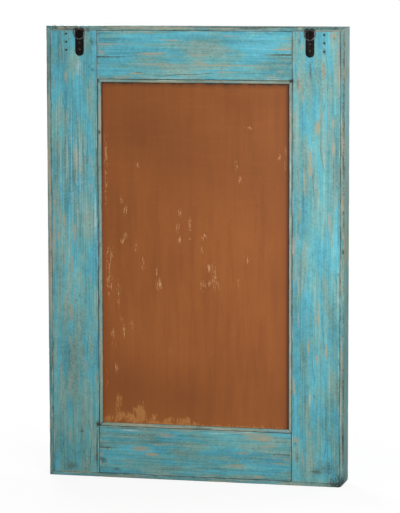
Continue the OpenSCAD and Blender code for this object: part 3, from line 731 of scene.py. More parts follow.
@dataclass(frozen=True)
class StainedPanel(Finish):
    """Smooth board in brown stain, with flaked scuffs, a rubbed lower edge and painted shadow by its beads.
    """

    name: str
    effects: SharedEffects
    brown: Colour = srgb(141, 79, 34)
    dark: Colour = srgb(116, 62, 24)
    warm: Colour = srgb(155, 91, 40)
    flake: Colour = srgb(206, 156, 108)
    rubbed: Colour = srgb(178, 120, 66)
    red: Colour = srgb(136, 62, 28)
    # colour of the painted shadow that the beads cast on the panel
    glaze: Colour = srgb(46, 32, 24)

    def material(self) -> Material:
        """Builds the material.

        Returns:
            The material.
        """
        material, g, shader = self.start()
        fx = self.effects
        grain = g.attribute("grain")
        half = g.attribute("half")
        marks = g.parts(g.attribute("marks"))

        def streaks(long: float, wide: float, detail: float, offset: float) -> Socket:
            """Upright streaks of that size."""
            named = {"Grain": grain, "Long": long, "Wide": wide, "Detail": detail, "Offset": offset}
            return g.group(fx.streaks, named).outputs[0]

        brush = streaks(0.16, 0.018, 3.0, 3.0)
        thin = streaks(0.10, 0.0050, 4.0, 9.0)
        clouds = g.noise(grain, 6.0, 4.0, 0.55)
        colour = g.mix(g.rise(clouds, 0.38, 0.64, 0.5), self.brown, self.warm)
        colour = g.mix(g.rise(brush, 0.44, 0.68, 0.34), colour, self.warm)
        colour = g.mix(g.fall(brush, 0.34, 0.50, 0.22), colour, self.dark)
        cloud = g.math("MULTIPLY", marks[1], g.plus(0.5, g.times(brush, 0.5)), clamp=True)
        colour = g.mix(cloud, colour, self.dark)
        colour = g.mix(g.fall(thin, 0.34, 0.52, 0.10), colour, self.dark)
        colour = g.mix(g.rise(thin, 0.54, 0.68, 0.07), colour, self.warm)
        wiped = g.noise(g.vector("MULTIPLY", grain, (1.0, 0.16, 1.0)), 80.0, 3.0, 0.6)
        high = g.parts(grain)[0]
        wiped = g.times(g.rise(wiped, 0.50, 0.68, 0.14), g.rise(high, 0.02, 0.16))
        colour = g.mix(wiped, colour, self.warm)
        dust = g.noise(grain, 240.0, 3.0, 0.6)
        colour = g.mix(g.fall(dust, 0.36, 0.52, 0.13), colour, self.dark)

        chips = g.blend_values((streaks(0.016, 0.0013, 2.0, 17.0), 0.66), (dust, 0.34))
        scuff = g.plus(g.times(g.math("MINIMUM", marks[2], 1.2), 0.09), chips)
        scuff = g.times(g.rise(scuff, 0.555, 0.65, 0.72), g.rise(marks[2], 0.04, 0.30))
        flames = streaks(0.012, 0.0040, 4.0, 23.0)
        rubbed = g.plus(g.times(marks[0], 0.26), flames)
        rubbed = g.times(g.rise(rubbed, 0.54, 0.78), g.rise(marks[0], 0.04, 0.20))
        rubbed = g.times(rubbed, g.rise(g.noise(grain, 380.0, 3.0, 0.6), 0.24, 0.62))
        colour = g.mix(rubbed, colour, self.rubbed)
        colour = g.mix(scuff, colour, self.flake)
        flake = g.math("MAXIMUM", scuff, rubbed)

        offset = g.parts(grain)
        size = g.parts(half)
        wander = g.times(g.minus(g.noise(grain, 60.0, 3.0, 0.6), 0.5), 0.010)
        top = g.plus(g.minus(size[0], offset[0]), wander)
        sides = g.minus(size[1], g.math("ABSOLUTE", offset[1]))
        right = g.plus(size[1], offset[1])
        # darker band along the top: painted shadow under the top bead, partly dark stain
        colour = g.mix(g.fall(top, 0.006, 0.019, 0.6), colour, srgb(88, 48, 24))
        colour = g.mix(g.fall(g.plus(sides, wander), 0.008, 0.022, 0.35), colour, self.red)
        # painted shadow of the top and right beads, and of the upper left bead
        painted_bead_shadow = g.math("MAXIMUM", g.fall(top, 0.0062, 0.0095, 0.95), g.fall(right, 0.0060, 0.0165, 0.9))
        upper = g.rise(offset[0], 0.05, 0.25)
        painted_bead_shadow = g.math("MAXIMUM", painted_bead_shadow, g.times(g.fall(sides, 0.0060, 0.0085, 0.7), upper))
        # broad painted shade towards the right bead
        colour = g.mix(g.fall(right, 0.014, 0.050, 0.25), colour, self.dark)
        colour = g.mix(painted_bead_shadow, colour, self.glaze)

        rough = g.plus(g.blend_values((flake, 0.15), (brush, 0.2)), 0.45)
        g.feed(shader, {"Base Color": colour, "Roughness": rough, "Specular IOR Level": 0.25})
        height = g.blend_values((thin, 0.5), (flake, -0.6))
        g.bump(shader, 0.35, 0.0004, height)
        return material


@dataclass(frozen=True)
class AgedMetal(Finish):
    """Metal under a patina with brighter worn patches; painted contact shade and highlights where set."""

    name: str
    effects: SharedEffects
    patina: Colour = srgb(22, 22, 22)
    worn: Colour = srgb(54, 44, 38)
    share: float = 0.35
    patch: float = 0.007
    metallic: float = 0.6
    roughness: float = 0.34
    gloss: float = 0.5
    grime_and_contact_shade: float = 0.0

    def material(self) -> Material:
        """Builds the material.

        Returns:
            The material.
        """
        material, g, shader = self.start()
        place = g.here()
        named = {"Place": place, "Size": self.patch, "Share": self.share, "Soft": 0.14}
        patches = g.group(self.effects.blotches, named).outputs[0]
        specks = g.noise(place, 1400.0, 2.0, 0.6)
        colour = g.mix(g.times(patches, 0.75), self.patina, self.worn)
        colour = g.mix(g.rise(specks, 0.60, 0.75, 0.2), colour, self.worn)
        if self.grime_and_contact_shade:
            above = g.parts(place)[1]
            # near black close to the board: grime with painted contact shade in the notch and along the foot
            colour = g.mix(g.fall(above, 0.0007, 0.0014, self.grime_and_contact_shade), colour, srgb(8, 8, 8))
            # lighter on the raised knuckles and screw heads: a painted highlight, with some wear
            colour = g.mix(g.rise(above, 0.0023, 0.0027, 0.5), colour, srgb(78, 70, 66))
        rough = g.plus(self.roughness, g.times(g.minus(patches, 0.5), 0.18))
        g.feed(shader, {"Base Color": colour, "Metallic": self.metallic, "Specular IOR Level": self.gloss,
                        "Roughness": g.plus(rough, g.times(specks, 0.08))})
        g.bump(shader, 0.3, 0.00012, specks)
        return material


@dataclass(frozen=True)
class SilveredGlass(Finish):
    """Mirror glass with faint wipe marks."""

    name: str = "silvered_glass"

    def material(self) -> Material:
        """Builds the material.

        Returns:
            The material.
        """
        material, g, shader = self.start()
        place = g.here()
        wipes = g.noise(place, 9.0, 4.0, 0.6)
        colour = g.mix(g.rise(wipes, 0.3, 0.7), srgb(226, 232, 233), srgb(236, 240, 240))
        rough = g.rise(wipes, 0.52, 0.8, 0.06)
        g.feed(shader, {"Base Color": colour, "Metallic": 1.0, "Roughness": rough})
        return material


@dataclass(frozen=True)
class RawFibre(Finish):
    """Unpainted wood or card, with a fibrous grain."""

    name: str
    effects: SharedEffects
    light: Colour = srgb(206, 176, 132)
    dark: Colour = srgb(160, 124, 82)
    fibre: float = 0.0012

    def material(self) -> Material:
        """Builds the material.

        Returns:
            The material.
        """
        material, g, shader = self.start()
        place = g.here()
        named = {"Grain": place, "Long": self.fibre * 30, "Wide": self.fibre, "Detail": 3.0, "Offset": 5.0}
        fibres = g.group(self.effects.streaks, named).outputs[0]
        colour = g.mix(g.rise(fibres, 0.35, 0.65), self.dark, self.light)
        rough = g.plus(0.7, g.times(fibres, 0.15))
        g.feed(shader, {"Base Color": colour, "Roughness": rough})
        g.bump(shader, 0.3, 0.0003, fibres)
        return material


@dataclass
class Finishes:
    """Every finish of the object, as a material, with the slot of the record that it dresses."""

    effects: SharedEffects = field(default_factory=SharedEffects)
    made: dict[str, Material] = field(default_factory=dict)
    bead: Material | None = None

    def build(self) -> None:
        """Makes the materials."""
        fx = self.effects
        kinds: tuple[tuple[str, Finish], ...] = (
            ("turquoise_paint", RubbedPaint("rubbed_turquoise_paint", fx)),
            ("edge_paint", RubbedPaint(
                "worn_edge_paint", fx, sky=srgb(100, 156, 160), teal=srgb(114, 154, 150),
                sage=srgb(134, 158, 148), halo=srgb(152, 162, 148), wear=1.2, edge_bare=0.15, edge_dark=0.6,
                joint_dark=0.8, painted_foot_shade=0.1, painted_side_shade=srgb(214, 238, 238), gloss=0.1)),
            ("brown_panel", StainedPanel("brown_stained_panel", fx)),
            ("bare_wood", RawFibre("bare_beech", fx)),
            ("cardboard", RawFibre("grey_card", fx, srgb(168, 152, 126), srgb(146, 130, 106), 0.7 * MM)),
            ("mirror", SilveredGlass()),
            ("bronze_black", AgedMetal("bronze_black_iron", fx)),
            ("wire", AgedMetal(
                "rubbed_iron_wire", fx, srgb(52, 52, 54), srgb(96, 94, 92), share=0.45, patch=4 * MM,
                metallic=0.8, roughness=0.24)),
            ("strap", AgedMetal(
                "blackened_strap_iron", fx, srgb(12, 12, 12), srgb(30, 26, 23), share=0.4, patch=6 * MM,
                metallic=0.4, roughness=0.50, gloss=0.10, grime_and_contact_shade=0.9)),
            ("steel", AgedMetal(
                "zinced_steel", fx, srgb(160, 160, 156), srgb(190, 190, 186), share=0.5, patch=4 * MM,
                metallic=0.95, roughness=0.34)),
        )
        for slot, finish in kinds:
            self.made[slot] = finish.material()
            log.info("finish %s", finish.name)
        self.bead = RubbedPaint(
            "bead_paint", fx, sky=srgb(114, 160, 162), teal=srgb(126, 158, 150), sage=srgb(144, 162, 146),
            halo=srgb(164, 166, 144), contrast=2.4, wear=1.2, edge_bare=0.1, edge_dark=0.2,
            joint_dark=0.65, front_glaze_and_shade=0.75).material()


# ---- meshes ----


class Ripple:
    """A smooth random field: a sum of sine waves of one size, between about -1 and 1."""

    def __init__(self, seed: int, size: float, waves: int = 7) -> None:
        """Draws the waves.

        Args:
            seed: Fixes the draw.
            size: Usual distance from crest to crest.
            waves: How many waves are added.
        """
        rng = np.random.default_rng(seed)
        direction = rng.normal(size=(waves, 3))
        direction /= np.linalg.norm(direction, axis=1)[:, None]
        self.rate = direction * (2 * math.pi / size) * rng.uniform(0.6, 1.5, (waves, 1))
        self.phase = rng.uniform(0, 2 * math.pi, waves)

    def at(self, points: np.ndarray) -> np.ndarray:
        """The field at some points, given as rows."""
        return np.sin(points @ self.rate.T + self.phase).sum(1) / math.sqrt(len(self.phase))


class Joint(Enum):
    """A side of a bar that lies against a neighbour."""

    OUTER = "outer"
    INNER = "inner"
    START = "start"
    END = "end"
    FRONT = "front"
    BACK = "back"


def new_object(name: str, mesh: Mesh, material: Material | None = None) -> Object:
    """Puts a mesh in the scene, at the origin.

    Args:
        name: The object's name.
        mesh: Its mesh.
        material: Its finish, if any.

    Returns:
        The object.
    """
    made = bpy.data.objects.new(name, mesh)
    bpy.context.scene.collection.objects.link(made)
    if material is not None:
        mesh.materials.clear()
        mesh.materials.append(material)
    return made


def smooth_but_sharp(mesh: Mesh, angle: float = 32.0) -> None:
    """Shades a mesh smooth, with every edge over that angle sharp."""
    mesh.shade_smooth()
    mesh.set_sharp_from_angle(angle=math.radians(angle))


def face_outwards(mesh: Mesh, merge: float = 0.0) -> None:
    """Turns all faces of a closed mesh outwards.

    Args:
        mesh: The mesh.
        merge: Corners closer than this are made one first.
    """
    bm = bmesh.new()
    bm.from_mesh(mesh)
    if merge:
        bmesh.ops.remove_doubles(bm, verts=bm.verts, dist=merge)
    bmesh.ops.recalc_face_normals(bm, faces=bm.faces)
    bm.to_mesh(mesh)
    bm.free()


def settle(made: Object) -> None:
    """Turns an object's modifiers into a plain mesh and takes them off.

    Args:
        made: The object.
    """
    bpy.context.view_layer.update()
    graph = bpy.context.evaluated_depsgraph_get()
    settled = made.evaluated_get(graph)
    mesh = bpy.data.meshes.new_from_object(settled, preserve_all_data_layers=True, depsgraph=graph)
    made.modifiers.clear()
    made.data = mesh


def coordinates(mesh: Mesh) -> np.ndarray:
    """Every vertex as a row of three numbers.

    Args:
        mesh: The mesh.

    Returns:
        The rows.
    """
    points = np.zeros(len(mesh.vertices) * 3, np.float32)
    mesh.vertices.foreach_get("co", points)
    return points.reshape(-1, 3).astype(float)


def set_attribute(mesh: Mesh, name: str, values: np.ndarray) -> None:
    """Stores one value, vector or colour for every vertex under a name.

    Args:
        mesh: The mesh.
        name: The attribute's name.
        values: One row a vertex.
    """
    kinds = {1: ("FLOAT", "value"), 3: ("FLOAT_VECTOR", "vector"), 4: ("FLOAT_COLOR", "color")}
    kind, field_name = kinds[1 if values.ndim == 1 else values.shape[1]]
    made = mesh.attributes.get(name) or mesh.attributes.new(name, kind, "POINT")
    made.data.foreach_set(field_name, np.ascontiguousarray(values, np.float32).ravel())


@dataclass
class Bar:
    """A sawn bar or sheet with eased long edges, drawn in its own three directions.

    Its length runs along, its width across, and its depth from the back to the front (-y).
    The corner point is in the middle of the length, at the outer side of the back face.
    """

    name: str
    corner: Vector
    along: Vector
    across: Vector
    length: float
    width: float
    depth: float
    radii: tuple[float, float, float, float] = (0.8 * MM,) * 4
    mitre: float = 0.0
    joints: tuple[Joint, ...] = ()
    painted_over: tuple[float, ...] = (0.0, 0.0, 0.0, 0.0)
    row: float = 6 * MM
    column: float = 6 * MM
    edge_wear: float = 0.35 * MM
    nicks: int = 6
    hollow: float = 0.1 * MM
    marks: tuple[Mark, ...] = ()
    scatter: int = 0
    arc_steps: int = 3
    back_column: float | None = None
    narrowest: float = 1.1
    hollow_wave: float = 110 * MM
    edge_wave: float = 28 * MM
    edge_reach: float = 1.3 * MM
    nick_width: float = 1.6 * MM
    mark_depth: float = 3 * MM

    def section(self) -> np.ndarray:
        """Points round the bar's section: across, depth and the outward direction of both.

        Returns:
            One row a point.
        """
        w, t = self.width, self.depth
        corners = ((0.0, 0.0), (w, 0.0), (w, t), (0.0, t))
        steps = ((1, 0), (0, 1), (-1, 0), (0, -1))
        outwards = ((0, -1), (1, 0), (0, 1), (-1, 0))
        found: list[tuple[float, float, float, float]] = []
        for i in range(4):
            first, last = self.radii[i], self.radii[(i + 1) % 4]
            side = (w if i % 2 == 0 else t) - first - last
            near = min(2 * MM, side / 3)
            apart = self.back_column if i == 0 and self.back_column else self.column
            inner = np.linspace(near, side - near, max(2, round((side - 2 * near) / apart) + 1))
            for s in (0.0, *inner):
                found.append((corners[i][0] + steps[i][0] * (first + s),
                              corners[i][1] + steps[i][1] * (first + s), *outwards[i]))
            turn = corners[(i + 1) % 4]
            into, out = steps[i], steps[(i + 1) % 4]
            centre = (turn[0] - into[0] * last + out[0] * last, turn[1] - into[1] * last + out[1] * last)
            for k in range(self.arc_steps):
                angle = (k / self.arc_steps) * math.pi / 2
                n = (outwards[i][0] * math.cos(angle) + into[0] * math.sin(angle),
                     outwards[i][1] * math.cos(angle) + into[1] * math.sin(angle))
                found.append((centre[0] + n[0] * last, centre[1] + n[1] * last, *n))
        return np.array(found)

    def wear(self, a: np.ndarray, b: np.ndarray, d: np.ndarray) -> np.ndarray:
        """How far each point of the surface is worn in, from its place in the bar.

        Args:
            a: Places along.
            b: Places across.
            d: Depths.

        Returns:
            One depth of wear a point.
        """
        local = np.stack([a, b, d], 1)
        seed = seed_of(self.name)
        corner_b = np.minimum(b, self.width - b)
        corner_d = np.minimum(d, self.depth - d)
        to_edge = np.hypot(corner_b, corner_d)
        edge = np.exp(-to_edge / self.edge_reach)
        depth = self.hollow * (0.5 + 0.5 * np.clip(Ripple(seed, self.hollow_wave).at(local), -1, 1))
        uneven = Ripple(seed + EDGE_SEED, self.edge_wave).at(local)
        depth += edge * self.edge_wear * np.clip(uneven, 0, 1.6) ** 2
        rng = np.random.default_rng(seed + NICK_SEED)
        for _ in range(self.nicks):
            where = rng.uniform(-self.length / 2, self.length / 2)
            side_b, side_d = rng.choice([0.0, self.width]), rng.choice([0.0, self.depth])
            deep, reach = rng.uniform(0.4, 1.1) * MM, rng.uniform(3, 9) * MM
            apart = np.hypot(b - side_b, d - side_d) / self.nick_width
            depth += deep * np.exp(-((a - where) / reach) ** 2 - apart ** 2)
        return np.minimum(depth, 0.3 * min(self.width, self.depth))

    def build(self, material: Material) -> Object:
        """Makes the bar's object with its mesh in place.

        Args:
            material: The bar's finish.

        Returns:
            The object.
        """
        section = self.section()
        rows = max(2, math.ceil(self.length / self.row) + 1)
        share = np.linspace(-1.0, 1.0, rows)
        b, d, nb, nd = section.T
        count = len(b)
        half = self.length / 2 - self.mitre * b
        a = (share[:, None] * half[None, :]).ravel()
        b, d, nb, nd = (np.tile(v, rows) for v in (b, d, nb, nd))
        inset = self.wear(a, b, d)
        points = self.place(a, b - nb * inset, d - nd * inset)
        faces = []
        for r in range(rows - 1):
            for k in range(count):
                n = (k + 1) % count
                faces.append((r * count + k, r * count + n, (r + 1) * count + n, (r + 1) * count + k))
        faces.append(tuple(range(count)))
        faces.append(tuple(range((rows - 1) * count, rows * count)))
        mesh = bpy.data.meshes.new(self.name)
        mesh.from_pydata(points.tolist(), [], faces)
        face_outwards(mesh)
        return new_object(self.name, mesh, material)

    def place(self, a: np.ndarray, b: np.ndarray, d: np.ndarray) -> np.ndarray:
        """Places in the frame of places in the bar.

        Args:
            a: Places along.
            b: Places across.
            d: Depths.

        Returns:
            One row a point.
        """
        front = np.array((0.0, -1.0, 0.0))
        return (np.array(self.corner)[None, :] + a[:, None] * np.array(self.along)
                + b[:, None] * np.array(self.across) + d[:, None] * front)

    def local(self, points: np.ndarray) -> np.ndarray:
        """Places in the bar of places in the frame: along, across and depth."""
        offset = points - np.array(self.corner)
        return np.stack([offset @ np.array(self.along), offset @ np.array(self.across), -offset[:, 1]], 1)

    def joint_distances(self, local: np.ndarray) -> np.ndarray:
        """Distance of every point to up to four joints, 1 where there is none.

        Args:
            local: The points' places in the bar.

        Returns:
            Four distances a point.
        """
        a, b, d = local.T
        end = (self.length / 2 - self.mitre * b - a) / math.hypot(1, self.mitre)
        start = (self.length / 2 - self.mitre * b + a) / math.hypot(1, self.mitre)
        by_joint = {Joint.OUTER: b, Joint.INNER: self.width - b, Joint.START: start, Joint.END: end,
                    Joint.FRONT: self.depth - d, Joint.BACK: d}
        found = np.ones((len(local), 4))
        for i, joint in enumerate(self.joints[:4]):
            found[:, i] = by_joint[joint] + self.painted_over[i]
        return found

    def mark_values(self, local: np.ndarray, camera: PhotoCamera) -> np.ndarray:
        """How strong each kind of mark is at every point.

        Args:
            local: The points' places in the bar.
            camera: Places the marks.

        Returns:
            Four strengths a point.
        """
        a, b, d = local.T
        found = np.zeros((len(local), 4))
        on_back = np.exp(-(np.clip(d, 0, None) / self.mark_depth) ** 2)
        for mark in self.marks:
            where = self.local(np.array([camera.on_plane(mark.px, mark.py, self.corner.y)]))[0]
            reach = (mark.long / 2 * MM, max(mark.wide / 2, self.narrowest) * MM)
            if abs(where[0]) > self.length / 2 + reach[0] or not -reach[1] < where[1] < self.width + reach[1]:
                continue
            q = ((a - where[0]) / reach[0]) ** 2 + ((b - where[1]) / reach[1]) ** 2
            found[:, mark.kind.value] += mark.strength * np.exp(-q) * on_back
        rng = np.random.default_rng(seed_of(self.name) + SCATTER_SEED)
        for _ in range(self.scatter):
            where = (rng.uniform(-0.5, 0.5) * self.length, rng.uniform(0, 1) * self.width)
            reach = (rng.uniform(12, 45) * MM, rng.uniform(0.15, 0.5) * min(12 * MM, self.width * 0.4))
            q = ((a - where[0]) / reach[0]) ** 2 + ((b - where[1]) / reach[1]) ** 2
            kind = MarkKind.RUB if rng.uniform() < 0.75 else MarkKind.GRIME
            found[:, kind.value] += rng.uniform(0.4, 1.0) * np.exp(-q)
        return found

    def dress(self, mesh: Mesh, camera: PhotoCamera) -> None:
        """Stores what the finishes read: place in the grain, half size, joints, marks and shift.

        Args:
            mesh: The bar's mesh.
            camera: Places the marks.
        """
        local = self.local(coordinates(mesh))
        count = len(local)
        middle = np.array((0.0, self.width / 2, self.depth / 2))
        half = np.array((self.length / 2, self.width / 2, self.depth / 2))
        rng = np.random.default_rng(seed_of(self.name) + SHIFT_SEED)
        set_attribute(mesh, "grain", local - middle)
        set_attribute(mesh, "half", np.tile(half, (count, 1)))
        set_attribute(mesh, "seams", self.joint_distances(local))
        set_attribute(mesh, "marks", self.mark_values(local, camera))
        set_attribute(mesh, "shift", np.full(count, rng.uniform(0, 40)))
        smooth_but_sharp(mesh)


def cutter_box(low: Vector, high: Vector) -> Cutter:
    """Corners and faces of a box, to cut with.

    Args:
        low: Lowest corner.
        high: Highest corner.

    Returns:
        The cutter.
    """
    corners = [(x, y, z) for x in (low.x, high.x) for y in (low.y, high.y) for z in (low.z, high.z)]
    faces = [(0, 1, 3, 2), (4, 6, 7, 5), (0, 4, 5, 1), (2, 3, 7, 6), (0, 2, 6, 4), (1, 5, 7, 3)]
    return corners, faces


def cutter_rod(start: Vector, end: Vector, radius: float, sides: int = 20) -> Cutter:
    """Corners and faces of a round rod, to bore with.

    Args:
        start: Middle of one end.
        end: Middle of the other.
        radius: The rod's radius.
        sides: Number of its sides.

    Returns:
        The cutter.
    """
    axis = (end - start).normalized()
    u = axis.orthogonal().normalized()
    v = axis.cross(u)
    ring = [u * math.cos(t) * radius + v * math.sin(t) * radius
            for t in (2 * math.pi * k / sides for k in range(sides))]
    corners = [tuple(start + r) for r in ring] + [tuple(end + r) for r in ring]
    faces = [(k, (k + 1) % sides, (k + 1) % sides + sides, k + sides) for k in range(sides)]
    return corners, faces + [tuple(reversed(range(sides))), tuple(range(sides, 2 * sides))]


def cut_from(made: Object, cutters: Iterable[Cutter]) -> None:
    """Cuts boxes and rods out of an object.

    Args:
        made: The object.
        cutters: What is cut out of it.
    """
    corners: list = []
    faces: list = []
    for more, sides in cutters:
        faces += [tuple(i + len(corners) for i in face) for face in sides]
        corners += more
    mesh = bpy.data.meshes.new("cutter")
    mesh.from_pydata(corners, [], faces)
    tool = new_object("cutter", mesh)
    face_outwards(mesh)
    modifier = made.modifiers.new("cut", "BOOLEAN")
    modifier.operation, modifier.solver, modifier.object = "DIFFERENCE", "EXACT", tool
    settle(made)
    bpy.data.objects.remove(tool)


def eased_copy(node: str, name: str, width: float, material: Material) -> Object:
    """A copy of a CAD node, merged, with its sharp edges eased.

    Args:
        node: The CAD node.
        name: Name of the new piece.
        width: Width of the eased edges.
        material: Its finish.

    Returns:
        The new object, in place.
    """
    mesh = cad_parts[node].data.copy()
    mesh.name = name
    if "custom_normal" in mesh.attributes:
        mesh.attributes.remove(mesh.attributes["custom_normal"])
    bm = bmesh.new()
    bm.from_mesh(mesh)
    bmesh.ops.remove_doubles(bm, verts=bm.verts, dist=1e-5)
    bmesh.ops.dissolve_limit(bm, angle_limit=math.radians(0.5), verts=bm.verts, edges=bm.edges)
    bm.to_mesh(mesh)
    bm.free()
    made = new_object(name, mesh, material)
    bevel = made.modifiers.new("ease", "BEVEL")
    bevel.width, bevel.segments, bevel.limit_method = width, 2, "ANGLE"
    bevel.angle_limit, bevel.use_clamp_overlap = math.radians(38), True
    settle(made)
    smooth_but_sharp(made.data)
    return made


@dataclass
class Workshop:
    """What every sub-assembly builds with: the finishes and the camera that places marks."""

    finishes: Finishes
    camera: PhotoCamera

    def dress_node(self, node: str, slot: str) -> None:
        """Gives a CAD node that stays in sight one of the finishes.

        Args:
            node: The CAD node.
            slot: Slot of the finish.
        """
        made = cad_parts[node]
        for place in made.material_slots:
            place.material = self.finishes.made[slot]
        if not made.material_slots:
            made.data.materials.append(self.finishes.made[slot])
        log.info("dressed %s in %s", node, slot)

    def finish(self, made: Object, body: str, slot: str, *nodes: str) -> Object:
        """Hands a finished piece over to its body and hides the nodes that it stands for.

        Args:
            made: The piece.
            body: The body that it rides on.
            slot: Its material slot; not used.
            nodes: The CAD nodes that it stands for.

        Returns:
            The piece.
        """
        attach(made, body)
        if nodes:
            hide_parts(*nodes)
        log.info("built %s on %s, %d vertices", made.name, body, len(made.data.vertices))
        return made

    def bar(self, bar: Bar, body: str, slot: str, *nodes: str,
            cutters: Sequence[Cutter] = (),
            shape: Callable[[Mesh], None] | None = None) -> Object:
        """Builds, cuts, dresses and hands over one bar.

        Args:
            bar: The bar.
            body: The body that it rides on.
            slot: Its material slot.
            nodes: The CAD nodes that it stands for.
            cutters: What is cut out of it.
            shape: Changes its mesh, if given.

        Returns:
            The piece.
        """
        made = bar.build(self.finishes.made[slot])
        if cutters:
            cut_from(made, cutters)
        if shape is not None:
            shape(made.data)
        bar.dress(made.data, self.camera)
        return self.finish(made, body, slot, *nodes)


UP = Vector((0.0, 0.0, 1.0))
SIDE = Vector((1.0, 0.0, 0.0))


@dataclass
class Edges:
    """One side of a rectangle of bars, with the ways it runs and faces."""

    side: str

    @property
    def along(self) -> Vector:
        """The direction of the bar's length."""
        return UP if self.side in HANDS else SIDE

    @property
    def inwards(self) -> Vector:
        """The direction from the bar's outer side to its inner side."""
        return {"left": SIDE, "right": -SIDE, "bottom": UP, "top": -UP}[self.side]


def bar_from_box(node: str, side: str, coat: str, **more: object) -> Bar:
    """A bar that fills a CAD node's box, on one side of the frame.

    Args:
        node: The CAD node.
        side: That side.
        coat: Word before the node's name.
        more: The bar's other fields.

    Returns:
        The bar.
    """
    low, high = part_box(node)
    upright = side in HANDS
    outer = {"left": low.x, "right": high.x, "bottom": low.z, "top": high.z}[side]
    middle = (low + high) / 2
    corner = Vector((outer, high.y, middle.z)) if upright else Vector((middle.x, high.y, outer))
    length = high.z - low.z if upright else high.x - low.x
    width = high.x - low.x if upright else high.z - low.z
    edges = Edges(side)
    return Bar(name=f"{coat}_{node}", corner=corner, along=edges.along, across=edges.inwards,
               length=length, width=width, depth=high.y - low.y, **more)


def leaf_seat(leaf: str, stile: str, rightwards: bool, play: float) -> Cutter:
    """The recess for a hinge leaf, open at the stile's front and at the edge that it is hung on.

    Args:
        leaf: The leaf's CAD node.
        stile: The stile's CAD node.
        rightwards: Whether that edge is the stile's right one.
        play: Clearance round the leaf.

    Returns:
        The cutter.
    """
    low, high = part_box(leaf)
    stile_low, stile_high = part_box(stile)
    front, back = stile_low.y - MM, high.y + play
    if rightwards:
        return cutter_box(Vector((low.x - play, front, low.z)), Vector((stile_high.x + MM, back, high.z)))
    return cutter_box(Vector((stile_low.x - MM, front, low.z)), Vector((high.x + play, back, high.z)))


@dataclass
class BackFrame:
    """Stiles and rails of the back, the edge boards round them, the beads and the panel."""

    shop: Workshop
    spare_radius: float = 1.9 * MM
    spare_depth: float = 12 * MM
    spare_inset: float = 42.0 * MM
    spare_drop: float = 15.5 * MM
    spare_pitch: float = 16.4 * MM
    outer_radius: float = 1.6 * MM
    bead_radius: float = 2.6 * MM
    worn_corner: float = 12 * MM

    def spare_holes(self, side: str) -> list[Cutter]:
        """The three screw holes beside a hanger.

        Args:
            side: The hanger's side.

        Returns:
            The cutters.
        """
        low, high = CAD_BOX[0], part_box("edge_board_top")[1]
        x = low.x + self.spare_inset if side == "left" else high.x - self.spare_inset
        found = []
        for k in range(3):
            z = high.z - self.spare_drop - k * self.spare_pitch
            found.append(cutter_rod(Vector((x, MM, z)), Vector((x, -self.spare_depth, z)), self.spare_radius))
        return found

    def boards(self) -> None:
        """The two stiles and two rails that the photograph shows."""
        hidden = {"left": (0.3 * MM, 0.0), "right": (0.5 * MM, 0.0),
                  "top": (0.2 * MM, 0.0, 0.0, 0.0), "bottom": (0.2 * MM, 0.4 * MM, 0.0, 0.0)}
        for side in (*HANDS, *ENDS):
            upright = side in HANDS
            name = f"back_stile_{side}" if upright else f"back_rail_{side}"
            ends = () if upright else (Joint.START, Joint.END)
            bar = bar_from_box(name, side, "painted", joints=(Joint.OUTER, Joint.INNER, *ends),
                               painted_over=hidden[side], row=3 * MM, column=8 * MM, back_column=2.2 * MM,
                               marks=BOARD_MARKS, edge_wear=0.25 * MM, nicks=5 if upright else 4)
            cutters = self.spare_holes(side) if upright else ()
            self.shop.bar(bar, "root", "turquoise_paint", name, cutters=cutters)

    def round_corner(self, mesh: Mesh) -> None:
        """Wears the lower outer corner round where the photograph shows it knocked off.

        Args:
            mesh: An edge board's mesh.
        """
        points = coordinates(mesh)
        low = CAD_BOX[0]
        centre = np.array((low.x + self.worn_corner, low.z + self.worn_corner))
        flat = points[:, (0, 2)] - centre
        reach = np.linalg.norm(flat, axis=1)
        beyond = (flat[:, 0] < 0) & (flat[:, 1] < 0) & (reach > self.worn_corner)
        flat[beyond] *= (self.worn_corner / reach[beyond])[:, None]
        points[:, (0, 2)] = flat + centre
        mesh.vertices.foreach_set("co", points.astype(np.float32).ravel())

    def edge_boards(self) -> None:
        """The mitred boards that box the frame in."""
        for side in SIDES:
            name = f"edge_board_{side}"
            bar = bar_from_box(name, side, "worn", mitre=1.0, joints=(Joint.INNER, Joint.START, Joint.END),
                               painted_over=(0.5 * MM, 0.4 * MM, 0.4 * MM),
                               radii=(self.outer_radius, 0.8 * MM, 0.8 * MM, self.outer_radius),
                               row=3 * MM, column=3 * MM, edge_wear=0.35 * MM, nicks=20, hollow=0.12 * MM,
                               marks=BOARD_MARKS, scatter=14, arc_steps=4)
            shape = self.round_corner if side in ("left", "bottom") else None
            self.shop.bar(bar, "root", "edge_paint", name, shape=shape)

    def beads(self) -> None:
        """The mitred beads that hold the panel in."""
        for side in SIDES:
            name = f"bead_{side}"
            hidden = (0.9 * MM if side == "right" else 0.0, 0.0, 0.0, 0.0)
            bar = bar_from_box(name, side, "painted", mitre=1.0,
                               joints=(Joint.OUTER, Joint.FRONT, Joint.START, Joint.END),
                               painted_over=hidden, radii=(0.8 * MM, self.bead_radius, 0.8 * MM, 0.8 * MM),
                               row=4 * MM, column=2 * MM, edge_wear=0.4 * MM, nicks=12, hollow=0.15 * MM,
                               marks=BOARD_MARKS, scatter=10, arc_steps=4)
            made = self.shop.bar(bar, "root", "edge_paint", name)
            made.data.materials[0] = self.shop.finishes.bead

    def panel(self) -> None:
        """The stained panel, a little hollow between its edges."""
        bar = bar_from_box("backing_panel", "left", "stained", radii=(0.4 * MM,) * 4, row=3 * MM,
                           column=8 * MM, back_column=3 * MM, marks=PANEL_MARKS, edge_wear=0.0, nicks=0,
                           hollow=0.2 * MM, narrowest=2.8)
        self.shop.bar(bar, "root", "brown_panel", "backing_panel")

    def build(self) -> None:
        """Builds the whole back."""
        self.boards()
        self.edge_boards()
        self.beads()
        self.panel()
        self.shop.dress_node("packing_sheet", "cardboard")
        self.shop.dress_node("mirror_glass", "mirror")
        self.shop.dress_node("corner_dowels", "bare_wood")


